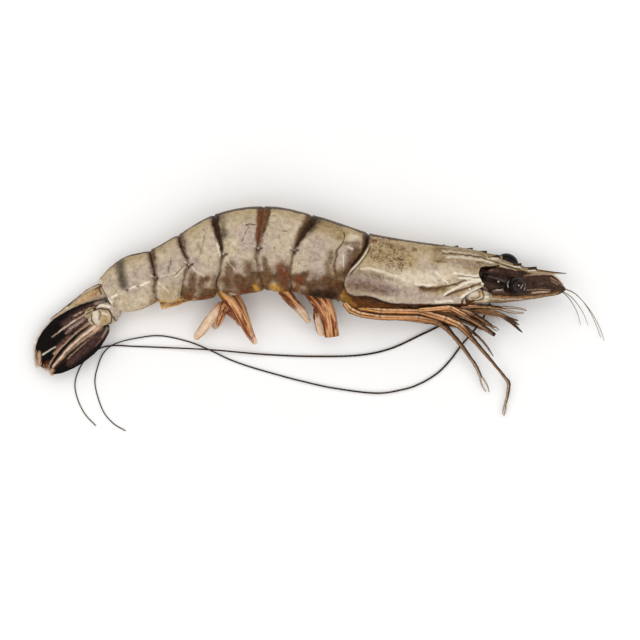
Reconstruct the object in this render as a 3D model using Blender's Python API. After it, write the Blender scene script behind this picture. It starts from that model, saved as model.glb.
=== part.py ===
"""A whole raw tiger prawn with its head on, lying on its left side.

+X runs towards the head, +Y towards the back, and +Z up from the surface that the prawn lies on, so its
right side faces up. The origin is the middle of the small flat under the first abdominal segment. The sizes
below are in millimetres, and every piece is one closed solid with a clear gap to its neighbours.
"""

import math

import bmesh
import bpy
import numpy as np
from mathutils import Vector

MM = 0.001
GAP = 0.3

# A rib is a cut across the body: the point on the back (x, y), the point on the belly (x, y), half the body's
# width there, and the height of the body's middle plane. The middle plane stands a little lower than half the
# width, so that the flank that the prawn lies on is pressed flat.
ABDOMEN_RIBS = (
    (15.6, 10.0, 4.5, -14.8, 9.4, 9.2),
    (-3.7, 16.2, -11.5, -12.3, 10.8, 10.2),
    (-21.3, 19.5, -22.1, -11.5, 11.0, 10.4),
    (-39.4, 16.8, -36.1, -13.5, 10.2, 9.7),
    (-53.7, 9.2, -51.2, -15.2, 8.6, 8.2),
    (-64.0, 3.7, -61.1, -16.0, 7.2, 6.9),
    (-73.2, 1.2, -68.7, -18.1, 6.2, 6.0),
    (-82.8, -7.4, -76.7, -19.1, 4.6, 4.5),
)
SEGMENT_ENDS = (0, 1, 2, 3, 4, 5, 7)
HEAD_RIBS = (
    (16.0, 9.8, 4.9, -15.2, 9.6, 9.3),
    (22.1, 8.6, 14.4, -18.6, 10.3, 9.7),
    (32.8, 6.8, 28.7, -18.5, 10.2, 9.7),
    (43.9, 5.3, 43.1, -18.0, 9.2, 9.4),
    (53.3, 3.9, 53.3, -17.6, 7.8, 9.1),
    (59.4, 2.7, 59.0, -16.6, 6.6, 8.9),
    (66.0, 1.2, 65.0, -15.4, 5.4, 8.8),
)
HEAD_MIDDLE = 8.9
BELLY_SQUARENESS = 0.55
SEGMENT_SWELL = 0.03
SEGMENT_GAP = 0.02
AROUND = 26

# Along the head's ribs: the carapace's lower margin as a share of the height from belly to back.
CARAPACE_MARGIN = (0.15, 0.20, 0.075, 0.06, 0.05, 0.05, 0.05)
# The carapace's front margin: height share from belly to back, and how many ribs forward it reaches there. It
# falls back below for the base of the antenna, juts out as a spine, and falls back above for the eye.
CARAPACE_FRONT = ((0.0, 3.76), (0.22, 3.84), (0.36, 5.15), (0.47, 4.75), (0.72, 4.7), (0.84, 5.1), (1.0, 5.1))
CARAPACE_HOLLOW = 3.55
CARAPACE_WALL = 0.86
HOLLOW_WALL = 0.834
CARAPACE_RINGS = 9

# The rostrum's upper and lower edges, and half its thickness.
ROSTRUM = (
    # x, upper y, lower y, half thickness
    (40.0, 5.0, 2.0, 1.6),
    (50.0, 4.9, 0.6, 1.6),
    (57.8, 3.7, -2.6, 1.5),
    (66.0, 1.5, -2.8, 1.3),
    (74.0, -2.2, -5.2, 0.9),
    (80.0, -3.5, -5.6, 0.7),
    (89.8, -5.1, -5.5, 0.3),
)
ROSTRUM_TEETH = (45.0, 50.5, 55.6, 60.0, 69.0, 73.4)
TOOTH_LENGTH = 3.4
TOOTH_RISE = 0.8

# The eyes: the start of the stalk, the middle of the eyeball, and the eyeball's radius.
EYES = {
    "right": ((58.9, -6.0, 13.6), (70.3, -9.8, 15.5)),
    "left": ((58.9, -4.2, 4.6), (68.8, -0.9, 3.5)),
}
EYE_RADIUS = 3.0
STALK_RADIUS = 1.5
EYE_RINGS = 9
EYE_POLE = 0.15

# A strap is a limb or blade with an oval section: rows of x, y, z, half width and half depth.
TELSON = (
    (-82.9, -11.7, 4.5, 2.7, 2.2),
    (-87.3, -13.1, 4.4, 2.2, 2.0),
    (-92.0, -16.0, 4.2, 1.6, 1.5),
    (-99.6, -21.0, 4.0, 0.9, 0.8),
    (-102.3, -22.2, 3.9, 0.3, 0.3),
)
UROPODS = {
    "base_right": (
        (-78.3, -20.0, 6.8, 1.6, 1.4), (-80.8, -21.2, 7.1, 2.5, 2.0),
        (-84.0, -22.6, 7.1, 1.6, 1.3),
    ),
    "inner_right": (
        (-84.6, -19.9, 5.9, 1.0, 0.5),
        (-92.0, -21.6, 6.0, 3.6, 0.5),
        (-99.0, -26.6, 5.6, 5.0, 0.5),
        (-104.2, -33.4, 4.8, 4.3, 0.45),
        (-106.4, -40.8, 4.0, 1.0, 0.35),
    ),
    "outer_right": (
        (-81.4, -25.0, 7.4, 1.7, 0.6),
        (-86.0, -29.2, 7.7, 4.5, 0.6),
        (-92.0, -34.4, 7.2, 4.7, 0.6),
        (-98.2, -39.2, 6.2, 3.1, 0.5),
        (-101.8, -41.8, 5.4, 0.8, 0.35),
    ),
    "base_left": (
        (-78.3, -20.0, 2.4, 1.6, 1.2), (-80.8, -21.2, 2.2, 2.5, 1.6),
        (-84.0, -22.6, 2.0, 1.6, 1.1),
    ),
    "inner_left": (
        (-84.6, -20.3, 3.0, 1.0, 0.5),
        (-92.0, -22.4, 2.6, 3.5, 0.5),
        (-98.8, -27.4, 2.3, 4.8, 0.5),
        (-103.6, -33.8, 2.0, 4.1, 0.45),
        (-105.6, -40.2, 1.8, 1.0, 0.35),
    ),
    "outer_left": (
        (-82.2, -25.2, 1.3, 1.4, 0.55),
        (-87.0, -28.6, 0.9, 4.0, 0.55),
        (-93.0, -34.0, 0.8, 4.2, 0.55),
        (-98.6, -38.6, 0.8, 2.8, 0.5),
        (-101.6, -41.0, 0.8, 0.8, 0.35),
    ),
}
PLEOPODS = {
    "right_1": (
        (-0.6, -15.6, 12.6, 2.6, 1.2), (0.9, -20.0, 11.4, 2.7, 1.1), (2.5, -24.8, 9.6, 2.6, 0.9),
        (3.0, -28.7, 8.0, 2.4, 0.7),
    ),
    "left_1": (
        (-1.6, -15.6, 6.0, 2.2, 1.0), (-1.8, -21.0, 4.4, 2.0, 0.8), (-1.0, -26.0, 2.8, 1.6, 0.6),
        (0.2, -28.4, 2.2, 0.7, 0.4),
    ),
    "right_2": (
        (-14.0, -14.3, 12.2, 2.2, 1.2), (-11.4, -16.6, 10.6, 1.8, 0.9),
        (-8.4, -20.2, 8.4, 1.4, 0.6), (-5.0, -23.8, 6.4, 0.7, 0.3),
    ),
    "left_2": (
        (-14.4, -13.4, 6.6, 2.0, 1.1), (-12.0, -16.0, 4.8, 1.7, 0.9), (-9.4, -18.8, 3.2, 1.2, 0.6),
        (-7.0, -21.4, 2.2, 0.6, 0.3),
    ),
    "right_3": (
        (-35.4, -16.4, 11.6, 2.4, 1.2), (-32.0, -18.2, 11.0, 2.5, 1.1),
        (-28.6, -23.4, 9.0, 1.9, 0.7), (-25.2, -31.6, 6.4, 0.8, 0.3),
    ),
    "left_3": (
        (-37.0, -15.4, 7.0, 2.8, 1.2), (-34.8, -18.0, 5.6, 2.4, 0.9),
        (-32.0, -21.4, 4.0, 1.7, 0.6), (-29.2, -24.6, 2.6, 0.7, 0.3),
    ),
    "right_4": (
        (-39.6, -16.2, 10.0, 1.8, 0.9), (-41.6, -20.4, 8.0, 2.0, 0.6),
        (-44.6, -25.4, 6.0, 1.8, 0.5), (-48.0, -29.6, 4.4, 0.7, 0.3),
    ),
    "left_4": (
        (-38.0, -18.8, 3.4, 1.6, 0.7), (-38.6, -21.0, 3.0, 1.6, 0.6),
        (-40.0, -23.6, 2.4, 1.3, 0.5), (-41.4, -25.6, 2.0, 0.6, 0.3),
    ),
    "right_5": (
        (-47.6, -16.2, 9.4, 1.2, 0.7), (-52.4, -17.0, 9.4, 1.4, 0.7),
        (-56.6, -17.9, 8.8, 1.5, 0.6), (-60.4, -18.6, 8.2, 0.9, 0.4),
    ),
    "left_5": (
        (-47.6, -16.4, 5.2, 1.2, 0.7), (-52.4, -17.2, 4.8, 1.4, 0.7),
        (-56.4, -18.0, 4.2, 1.4, 0.6), (-59.8, -18.6, 3.8, 0.9, 0.4),
    ),
}
ANTENNULES = {
    "right": (
        (61.8, -7.6, 9.95, 1.4, 0.85), (69.0, -7.0, 9.95, 1.3, 0.85), (78.0, -8.4, 9.9, 1.2, 0.85),
        (86.6, -10.2, 9.7, 0.8, 0.7),
    ),
    "left": (
        (61.8, -7.6, 7.85, 1.4, 0.85), (69.0, -7.0, 7.85, 1.3, 0.85), (78.0, -8.4, 7.9, 1.2, 0.85),
        (86.4, -10.2, 7.9, 0.8, 0.7),
    ),
}
ANTENNA_BASES = {
    "right": (
        (53.0, -13.3, 12.8, 1.6, 1.5), (55.6, -13.9, 13.4, 2.4, 2.2),
        (59.0, -14.2, 12.9, 1.8, 1.6),
    ),
    "left": ((53.0, -13.3, 5.0, 1.6, 1.5), (55.6, -13.9, 4.4, 2.4, 2.2), (59.0, -14.2, 4.9, 1.8, 1.6)),
}
# The blade beside each antenna leans inwards: its outer edge is the lower and outer one.
SCALE_OUTER_EDGE = ((60.4, -15.2, 4.2), (73.8, -14.8, 4.3), (84.0, -12.9, 3.4), (89.6, -11.6, 2.3))
SCALE_INNER_EDGE = ((60.8, -12.4, 3.2), (73.0, -8.6, 2.4), (82.6, -7.0, 2.2), (89.6, -10.2, 2.0))
SCALE_HALF_THICKNESS = 0.35

# Legs: joints as rows of x, y, z and radius, from the body to the tip.
LEGS = {
    "leg_right_5": (
        (8.8, -18.5, 12.6, 1.0), (14.4, -20.6, 12.8, 1.1), (20.5, -21.6, 12.4, 1.1),
        (34.8, -21.5, 11.2, 1.0),
        (42.1, -23.2, 9.4, 0.9), (45.8, -25.4, 8.4, 0.85), (51.5, -32.4, 5.6, 0.75),
        (57.2, -40.4, 3.0, 0.65),
        (59.2, -44.7, 2.2, 0.55), (61.1, -50.4, 1.0, 0.3),
    ),
    "leg_right_4": (
        (21.0, -19.4, 14.4, 1.1), (35.5, -19.3, 13.2, 1.0), (44.6, -21.4, 11.6, 1.1),
        (49.8, -23.8, 10.0, 1.05),
        (55.2, -29.1, 7.8, 0.85), (65.8, -41.7, 3.8, 0.65), (69.3, -45.9, 2.8, 0.75),
        (68.8, -52.0, 1.8, 0.55),
        (67.0, -59.0, 0.9, 0.3),
    ),
    "leg_left_5": (
        (9.2, -18.2, 6.4, 1.0), (20.0, -20.8, 6.2, 0.95), (34.4, -21.8, 6.8, 0.9),
        (41.8, -22.9, 6.8, 0.85),
        (49.4, -24.6, 6.4, 0.7), (56.2, -27.3, 5.2, 0.55), (60.6, -32.0, 2.6, 0.45),
        (63.4, -35.9, 1.4, 0.25),
    ),
    "leg_left_4": (
        (21.0, -19.6, 8.8, 0.9), (34.0, -19.8, 8.8, 0.85), (43.0, -21.2, 8.9, 0.8),
        (49.0, -22.4, 8.5, 0.7),
        (53.4, -24.4, 7.2, 0.55), (56.8, -28.0, 5.9, 0.3),
    ),
    "leg_right_3": (
        (36.4, -18.6, 15.8, 0.9), (45.8, -18.3, 14.6, 1.1), (51.5, -20.9, 12.6, 1.05),
        (56.5, -24.1, 10.4, 1.0),
        (60.4, -26.5, 8.6, 0.9), (63.3, -28.2, 7.2, 0.8),
    ),
    "leg_left_3": (
        (34.0, -19.0, 4.4, 0.8), (44.0, -19.8, 3.8, 0.8), (51.0, -22.2, 2.6, 0.7),
        (57.0, -24.8, 1.7, 0.6),
        (61.5, -26.6, 1.1, 0.3),
    ),
    "leg_right_2": (
        (43.0, -18.9, 12.0, 0.8), (48.8, -18.9, 11.2, 0.85), (53.4, -20.4, 9.9, 0.85),
        (57.8, -22.8, 8.5, 0.8),
        (60.7, -24.8, 7.0, 0.7), (65.2, -27.1, 5.2, 0.4),
    ),
    "leg_left_2": (
        (41.6, -19.2, 6.2, 0.75), (48.0, -19.5, 5.6, 0.75), (54.6, -21.6, 4.3, 0.7),
        (60.0, -23.6, 3.0, 0.6),
        (64.4, -25.4, 1.9, 0.3),
    ),
    "leg_right_1": (
        (46.0, -18.7, 9.4, 0.7), (55.2, -18.3, 9.2, 0.75), (60.4, -18.4, 8.7, 0.75),
        (65.2, -18.8, 7.8, 0.7),
        (69.7, -19.3, 6.8, 0.6), (75.7, -20.5, 5.2, 0.3),
    ),
    "leg_left_1": (
        (50.0, -19.0, 3.4, 0.65), (56.0, -19.2, 3.0, 0.65), (62.0, -20.0, 2.4, 0.6),
        (68.0, -21.2, 1.8, 0.5),
        (73.0, -22.8, 1.2, 0.3),
    ),
    "maxilliped_right": (
        (54.0, -18.8, 11.2, 0.8), (59.9, -19.4, 10.9, 0.8), (64.5, -21.0, 9.7, 0.85),
        (68.3, -22.8, 8.4, 0.8),
        (70.6, -24.5, 7.6, 0.6), (73.9, -27.2, 6.2, 0.3),
    ),
    "maxilliped_left": (
        (56.0, -18.8, 5.0, 0.7), (62.6, -20.0, 4.2, 0.7), (68.3, -21.9, 3.4, 0.6),
        (73.2, -24.6, 2.6, 0.3),
    ),
}
# The bevel level of the tubes of legs and whiskers, which gives six sides.
TUBE_LEVEL = 1

# Whiskers: the route of each as x, y, z, then the diameters at its root and its tip.
WHISKERS = {
    "antenna_right": (
        1.2, 0.45,
        (
            (61.4, -16.4, 8.6), (61.2, -17.6, 7.0), (60.4, -19.6, 6.3), (59.0, -22.2, 5.5),
            (57.3, -24.8, 3.9),
            (55.0, -27.8, 2.2), (51.4, -32.2, 0.9), (47.3, -37.7, 0.64), (42.5, -42.5, 0.64),
            (36.2, -46.3, 0.64),
            (29.8, -48.5, 0.64), (19.6, -49.9, 0.62), (3.7, -48.0, 0.6), (-8.2, -45.4, 0.6),
            (-17.0, -43.1, 0.55),
            (-28.0, -39.9, 0.5), (-35.7, -37.1, 0.48), (-43.3, -33.5, 0.45), (-51.0, -30.5, 0.4),
            (-61.0, -28.4, 0.4), (-69.4, -29.1, 0.8), (-77.8, -31.2, 1.2), (-82.4, -34.6, 0.8),
            (-84.9, -40.2, 0.33), (-85.9, -45.5, 0.3), (-84.9, -51.0, 0.29), (-82.5, -57.2, 0.28),
            (-78.7, -61.5, 0.27), (-74.3, -64.1, 0.26),
        ),
    ),
    "antenna_left": (
        1.2, 0.45,
        (
            (57.9, -17.6, 2.4), (54.6, -19.4, 1.6), (49.4, -21.1, 0.75), (43.5, -24.6, 0.64),
            (36.7, -27.9, 0.64), (25.0, -33.2, 0.64),
            (12.9, -35.7, 0.64), (-4.1, -36.1, 0.62), (-20.0, -35.5, 0.6), (-30.0, -34.7, 1.15),
            (-40.7, -33.7, 1.5), (-50.0, -33.2, 1.3),
            (-59.0, -32.8, 0.6),
            (-70.0, -32.4, 0.42), (-79.5, -32.1, 0.38), (-84.9, -33.6, 0.36), (-89.6, -37.4, 0.34),
            (-92.3, -42.2, 0.32), (-93.4, -46.9, 0.3), (-92.3, -52.4, 0.29), (-89.6, -57.8, 0.28),
            (-85.5, -62.2, 0.27),
        ),
    ),
    "whisker_right_1": (
        0.6, 0.3,
        (
            (87.4, -10.0, 9.8), (91.7, -12.0, 9.4), (95.0, -14.4, 8.0), (98.3, -18.2, 5.8),
            (101.4, -23.4, 3.2), (103.8, -29.0, 1.2),
        ),
    ),
    "whisker_right_2": (
        0.6, 0.3,
        (
            (87.4, -11.1, 9.3), (90.4, -13.0, 8.6), (93.6, -15.8, 7.0), (96.6, -19.8, 4.8),
            (99.0, -24.6, 2.4),
        ),
    ),
    "whisker_left_1": (
        0.6, 0.3,
        (
            (87.2, -10.1, 8.0), (92.2, -12.0, 7.2), (96.4, -15.4, 5.2), (100.4, -20.2, 3.0),
            (103.4, -25.4, 1.4), (105.4, -30.4, 0.6),
        ),
    ),
    "whisker_left_2": (
        0.6, 0.3,
        (
            (87.2, -11.0, 7.3), (90.0, -13.2, 6.4), (92.6, -16.2, 4.8), (94.8, -20.0, 3.0),
            (96.2, -24.2, 1.4),
        ),
    ),
}
# Points of a whisker's tube for each step of its route.
WHISKER_STEPS = 2

COLOURS = {
    "shell": (0.47, 0.39, 0.27),
    "belly": (0.16, 0.07, 0.02),
    "fan": (0.035, 0.022, 0.018),
    "eye": (0.02, 0.014, 0.012),
    "leg": (0.32, 0.13, 0.05),
    "paddle": (0.45, 0.20, 0.09),
    "blade": (0.08, 0.05, 0.03),
    "whisker": (0.06, 0.04, 0.02),
}


def clear_scene():
    """Removes every object of the scene that the script starts in."""
    for obj in list(bpy.data.objects):
        bpy.data.objects.remove(obj)


def make_materials():
    """One Principled material for each finish of the wet prawn."""
    made = {}
    for name, colour in COLOURS.items():
        material = bpy.data.materials.new(name)
        material.use_nodes = True
        shader = material.node_tree.nodes["Principled BSDF"]
        shader.inputs["Base Color"].default_value = (*colour, 1.0)
        shader.inputs["Roughness"].default_value = 0.3
        made[name] = material
    return made


def spline(rows, at):
    """Rows read at places along them, on a Catmull-Rom curve: place 1.5 is between rows 1 and 2."""
    rows = np.asarray(rows, float)
    padded = np.vstack([2 * rows[0] - rows[1], rows, 2 * rows[-1] - rows[-2]])
    at = np.clip(np.asarray(at, float), 0, len(rows) - 1)
    low = np.minimum(at.astype(int), len(rows) - 2)
    t = (at - low)[..., None]
    a, b, c, d = (padded[low + k] for k in range(4))
    return 0.5 * (2 * b + (c - a) * t + (2 * a - 5 * b + 4 * c - d) * t**2 + (3 * b - a - 3 * c + d) * t**3)


def section(ribs, place, angles, wide=1.0):
    """Points of the body's skin at places among the ribs. Angle 90 degrees is the back, 0 the right flank and
    -90 the belly. The back is an ellipse. The belly half is squarer, as the shell's sides hang straight."""
    rib = spline(ribs, place)
    back, belly, half_width, middle = rib[..., 0:2], rib[..., 2:4], rib[..., 4], rib[..., 5]
    up, across = np.sin(angles), np.cos(angles)
    squareness = np.where(up > 0, 1.0, BELLY_SQUARENESS)
    flat = (back + belly) / 2 + (back - belly) / 2 * up[..., None]
    height = middle + wide * half_width * np.sign(across) * np.abs(across) ** squareness
    return np.concatenate([flat, height[..., None]], axis=-1)


def mesh_object(name, bm, material, smooth=True):
    """Links the bmesh as one named object, in metres, with its faces pointing out."""
    bmesh.ops.recalc_face_normals(bm, faces=bm.faces)
    mesh = bpy.data.meshes.new(name)
    bm.to_mesh(mesh)
    bm.free()
    mesh.materials.append(material)
    if smooth:
        mesh.shade_smooth()
        mesh.set_sharp_from_angle(angle=math.radians(40))
    obj = bpy.data.objects.new(name, mesh)
    bpy.context.scene.collection.objects.link(obj)
    return obj


def loft(rings):
    """A bmesh skin over rings of equally many points, with both ends capped by a fan around their middle."""
    bm = bmesh.new()
    loops = [[bm.verts.new(Vector(p) * MM) for p in ring] for ring in rings]
    count = len(loops[0])
    for first, second in zip(loops, loops[1:]):
        for k in range(count):
            after = (k + 1) % count
            bm.faces.new((first[k], first[after], second[after], second[k]))
    for loop in (loops[0][::-1], loops[-1]):
        middle = bm.verts.new(sum((v.co for v in loop), Vector()) / count)
        for k in range(count):
            bm.faces.new((loop[k], loop[(k + 1) % count], middle))
    return bm


def press_flat(bm):
    """Cuts away what would be below the surface, and closes the cut with one flat face."""
    geometry = bm.verts[:] + bm.edges[:] + bm.faces[:]
    cut = bmesh.ops.bisect_plane(
        bm, geom=geometry, dist=1e-7, plane_co=(0, 0, 0), plane_no=(0, 0, 1), clear_inner=True
    )
    edges = [e for e in cut["geom_cut"] if isinstance(e, bmesh.types.BMEdge)]
    if edges:
        bmesh.ops.holes_fill(bm, edges=edges)


def make_abdomen(materials):
    """Six segments between the ribs. Each swells a little at its middle and stops short of the next."""
    angles = np.linspace(0, 2 * math.pi, AROUND, endpoint=False)
    for number, (front, rear) in enumerate(zip(SEGMENT_ENDS, SEGMENT_ENDS[1:]), start=1):
        share = np.linspace(0, 1, 6)
        places = front + SEGMENT_GAP / 2 + share * (rear - front - SEGMENT_GAP)
        rings = []
        for place, part in zip(places, share):
            swell = 1 + SEGMENT_SWELL * math.sin(math.pi * part)
            rings.append(section(ABDOMEN_RIBS, np.full(AROUND, place), angles, swell))
        bm = loft(rings)
        press_flat(bm)
        mesh_object(f"abdomen_{number}", bm, materials["shell"])


def margin_angle(place, lift=0.0):
    """The section angle of the carapace's lower margin on the right, lifted by a share of the height."""
    share = spline(np.array(CARAPACE_MARGIN)[:, None], place)[..., 0] + lift
    return np.arcsin(2 * share - 1)


def carapace_ring(reach):
    """One ring of the carapace. Its points go from the right lower margin over the back to the left one. The
    reach, from 0 to 1, says how far from the rear rib to the front margin the ring is."""
    share = np.linspace(0, 1, AROUND)
    place = np.full(AROUND, CARAPACE_HOLLOW * reach)
    for _ in range(4):
        start = margin_angle(place)
        angles = start + share * (math.pi - 2 * start)
        height = (1 + np.sin(angles)) / 2
        front = np.interp(height, *np.array(CARAPACE_FRONT).T)
        place = front * reach
    return section(HEAD_RIBS, place, angles)


def shrunk(ring, wall):
    """A ring moved in towards its own middle."""
    middle = ring.mean(axis=0)
    return middle + (ring - middle) * wall


def make_carapace(materials):
    """The shield over head and chest, hollow in front where the head parts come out, with its rostrum."""
    rings = [carapace_ring(reach) for reach in np.linspace(0, 1, CARAPACE_RINGS)]
    back_of_hollow = carapace_ring(CARAPACE_HOLLOW / CARAPACE_FRONT[-1][1])
    rings += [shrunk(rings[-1], CARAPACE_WALL), shrunk(back_of_hollow, HOLLOW_WALL)]
    bm = loft(rings)
    press_flat(bm)
    carapace = mesh_object("carapace", bm, materials["shell"])

    rostrum = mesh_object("rostrum_blade", rostrum_blade(), materials["shell"])
    rostrum.hide_render = True
    rostrum.display_type = "WIRE"
    joined = carapace.modifiers.new("rostrum", "BOOLEAN")
    joined.operation = "UNION"
    joined.object = rostrum


def rostrum_blade():
    """An upright blade in the middle plane. Each tooth rises along the upper edge and drops at its tip."""
    starts = np.array(ROSTRUM_TEETH)
    stations = {row[0] for row in ROSTRUM}
    for tooth in ROSTRUM_TEETH:
        stations |= {tooth, tooth + TOOTH_LENGTH, tooth + TOOTH_LENGTH + 0.4}
    rows = np.array(ROSTRUM)
    rings = []
    for x in sorted(s for s in stations if s <= rows[-1, 0]):
        upper, lower, half = (np.interp(x, rows[:, 0], rows[:, k]) for k in (1, 2, 3))
        into = (x - starts) / TOOTH_LENGTH
        rise = TOOTH_RISE * max([t for t in into if 0 <= t <= 1], default=0)
        middle, sharp = (upper + lower) / 2, 0.25 * half
        right = [(upper + rise, sharp), (middle, half), (lower, sharp)]
        left = [(y, -z) for y, z in right[::-1]]
        rings.append(np.array([(x, y, HEAD_MIDDLE + z) for y, z in right + left]))
    return loft(rings)


def make_thorax(materials):
    """The strip of gills and leg bases that shows under the carapace's lower margin."""
    rings = []
    for place in np.linspace(0.03, 4.3, 10):
        start = margin_angle(np.array(place), -GAP / 20)
        angles = np.linspace(start, -math.pi - start, AROUND // 2)
        rings.append(section(HEAD_RIBS, np.full(len(angles), place), angles, 0.94))
    mesh_object("thorax", loft(rings), materials["belly"])

    rows = ((53.0, -7.2, 4.6, 2.7), (57.0, -7.6, 4.6, 2.8), (60.0, -7.8, 3.2, 2.2), (61.2, -7.8, 1.6, 1.2))
    core = [oval((x, y, HEAD_MIDDLE), (0, 1, 0), (0, 0, 1), high, wide, 14) for x, y, high, wide in rows]
    mesh_object("head_core", loft(core), materials["fan"])


def oval(middle, first, second, along_first, along_second, count):
    """Points of an ellipse around a middle, on two directions."""
    angles = np.linspace(0, 2 * math.pi, count, endpoint=False)[:, None]
    reach = np.cos(angles) * along_first * np.array(first) + np.sin(angles) * along_second * np.array(second)
    return np.array(middle) + reach


def strap(rows, steps=7, count=10):
    """A bmesh limb or blade: oval sections along a smooth route, broad in the XY plane and thin across it."""
    data = spline(rows, np.linspace(0, len(rows) - 1, steps))
    tangents = np.gradient(data[:, :3], axis=0)
    rings = []
    for row, tangent in zip(data, tangents):
        side = np.cross((0, 0, 1), tangent)
        side /= np.linalg.norm(side)
        depth = np.cross(tangent, side)
        depth /= np.linalg.norm(depth)
        rings.append(oval(row[:3], side, depth, max(row[3], 0.2), max(row[4], 0.15), count))
    return loft(rings)


def make_scales(materials):
    """The blade beside each antenna: a thin leaf between an outer and an inner edge."""
    outer, inner = np.array(SCALE_OUTER_EDGE), np.array(SCALE_INNER_EDGE)
    places = np.linspace(0, len(outer) - 1, 8)
    outer, inner = spline(outer, places), spline(inner, places)
    for side, sign in (("right", 1), ("left", -1)):
        rings = []
        for first, second in zip(outer, inner):
            edge, far = (np.array((p[0], p[1], HEAD_MIDDLE + sign * p[2])) for p in (first, second))
            across = far - edge
            half = np.linalg.norm(across) / 2
            across /= 2 * half
            thick = np.cross(across, (1, 0, 0))
            thick /= np.linalg.norm(thick)
            rings.append(oval((edge + far) / 2, across, thick, half, SCALE_HALF_THICKNESS, 12))
        mesh_object(f"antenna_scale_{side}", loft(rings), materials["blade"])


def make_eyes(materials):
    """Each eye is turned about its stalk's line: a slim stalk that runs into a ball."""
    for side, (root, ball) in EYES.items():
        root, ball = Vector(root), Vector(ball)
        line = ball - root
        neck = math.asin(STALK_RADIUS / EYE_RADIUS)
        profile = [(0.0, STALK_RADIUS * 0.8), (line.length * 0.35, STALK_RADIUS)]
        for turn in np.linspace(math.pi - neck, 0.0, EYE_RINGS):
            radius = max(EYE_RADIUS * math.sin(turn), EYE_POLE)
            profile.append((line.length + EYE_RADIUS * math.cos(turn), radius))
        turned = line.to_track_quat("Z", "Y").to_matrix()
        first, second = turned @ Vector((1, 0, 0)), turned @ Vector((0, 1, 0))
        way = line.normalized()
        rings = [oval(root + way * along, first, second, radius, radius, 16) for along, radius in profile]
        mesh_object(f"eye_{side}", loft(rings), materials["eye"])


def make_legs(materials):
    """Each leg is a round tube through its joints, thinner at every joint further out."""
    for name, joints in LEGS.items():
        curve = bpy.data.curves.new(name, "CURVE")
        curve.dimensions = "3D"
        curve.bevel_depth = MM
        curve.bevel_resolution = TUBE_LEVEL
        curve.use_fill_caps = True
        line = curve.splines.new("POLY")
        line.points.add(len(joints) - 1)
        for point, (x, y, z, radius) in zip(line.points, joints):
            point.co = (x * MM, y * MM, z * MM, 1)
            point.radius = radius
        curve.materials.append(materials["leg"])
        leg = bpy.data.objects.new(name, curve)
        bpy.context.scene.collection.objects.link(leg)


def make_whiskers(materials):
    """Antennae and short whiskers: tubes that taper evenly along a smooth route."""
    for name, (root, tip, route) in WHISKERS.items():
        count = (len(route) - 1) * WHISKER_STEPS + 1
        points = spline(route, np.linspace(0, len(route) - 1, count))
        curve = bpy.data.curves.new(name, "CURVE")
        curve.dimensions = "3D"
        curve.bevel_depth = MM / 2
        curve.bevel_resolution = TUBE_LEVEL
        curve.use_fill_caps = True
        line = curve.splines.new("POLY")
        line.points.add(count - 1)
        for point, place, width in zip(line.points, points, np.linspace(root, tip, count)):
            point.co = (*(place * MM), 1)
            point.radius = width
        curve.materials.append(materials["whisker"])
        whisker = bpy.data.objects.new(name, curve)
        bpy.context.scene.collection.objects.link(whisker)


def make_straps(materials):
    """The tail fan, the swimming legs, and the limbs at the front of the head."""
    mesh_object("telson", strap(TELSON), materials["shell"])
    for groups, stem, finish in (
        (UROPODS, "uropod", "fan"),
        (PLEOPODS, "pleopod", "paddle"),
        (ANTENNULES, "antennule", "blade"),
        (ANTENNA_BASES, "antenna_base", "shell"),
    ):
        for name, rows in groups.items():
            mesh_object(f"{stem}_{name}", strap(rows), materials[finish])


def main():
    clear_scene()
    materials = make_materials()
    make_abdomen(materials)
    make_carapace(materials)
    make_thorax(materials)
    make_scales(materials)
    make_eyes(materials)
    make_legs(materials)
    make_whiskers(materials)
    make_straps(materials)


main()
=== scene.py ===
"""The looks of a whole raw tiger prawn, lying on its left side on a pale table.

+X runs towards the head, +Y towards the back and +Z up, and the prawn's right side faces up. Sizes are in
millimetres until a mesh is made. Every piece is a skin worked out on a grid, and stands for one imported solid.
A mask is a number from 0 to 1 on each vertex that says how much of one finish shows there.
"""

import math

import bpy
import numpy as np
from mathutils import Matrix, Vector


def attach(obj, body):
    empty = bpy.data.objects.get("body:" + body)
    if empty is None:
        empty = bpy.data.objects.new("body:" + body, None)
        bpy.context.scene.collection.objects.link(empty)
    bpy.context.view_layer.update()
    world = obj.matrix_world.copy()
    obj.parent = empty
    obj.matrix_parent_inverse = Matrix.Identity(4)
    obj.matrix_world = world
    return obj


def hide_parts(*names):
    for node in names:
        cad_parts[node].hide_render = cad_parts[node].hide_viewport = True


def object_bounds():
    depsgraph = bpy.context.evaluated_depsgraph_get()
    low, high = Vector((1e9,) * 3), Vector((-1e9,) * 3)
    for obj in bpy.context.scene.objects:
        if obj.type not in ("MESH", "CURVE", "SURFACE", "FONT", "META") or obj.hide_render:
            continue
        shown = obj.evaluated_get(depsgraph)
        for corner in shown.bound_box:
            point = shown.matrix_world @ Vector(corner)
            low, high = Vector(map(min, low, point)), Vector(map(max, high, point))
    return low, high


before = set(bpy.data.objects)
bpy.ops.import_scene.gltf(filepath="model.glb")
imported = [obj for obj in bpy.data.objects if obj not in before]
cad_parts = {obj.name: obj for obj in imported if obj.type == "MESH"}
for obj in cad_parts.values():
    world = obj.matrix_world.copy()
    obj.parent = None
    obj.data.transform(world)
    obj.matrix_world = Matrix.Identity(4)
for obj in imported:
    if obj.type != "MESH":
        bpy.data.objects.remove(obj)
CAD_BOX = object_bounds()

MM = 0.001
UP = np.array((0.0, 0.0, 1.0))
TABLE_HEIGHT = 0.0
TABLE_HALF = 3.0
LOWEST_SKIN = 0.02

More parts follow.
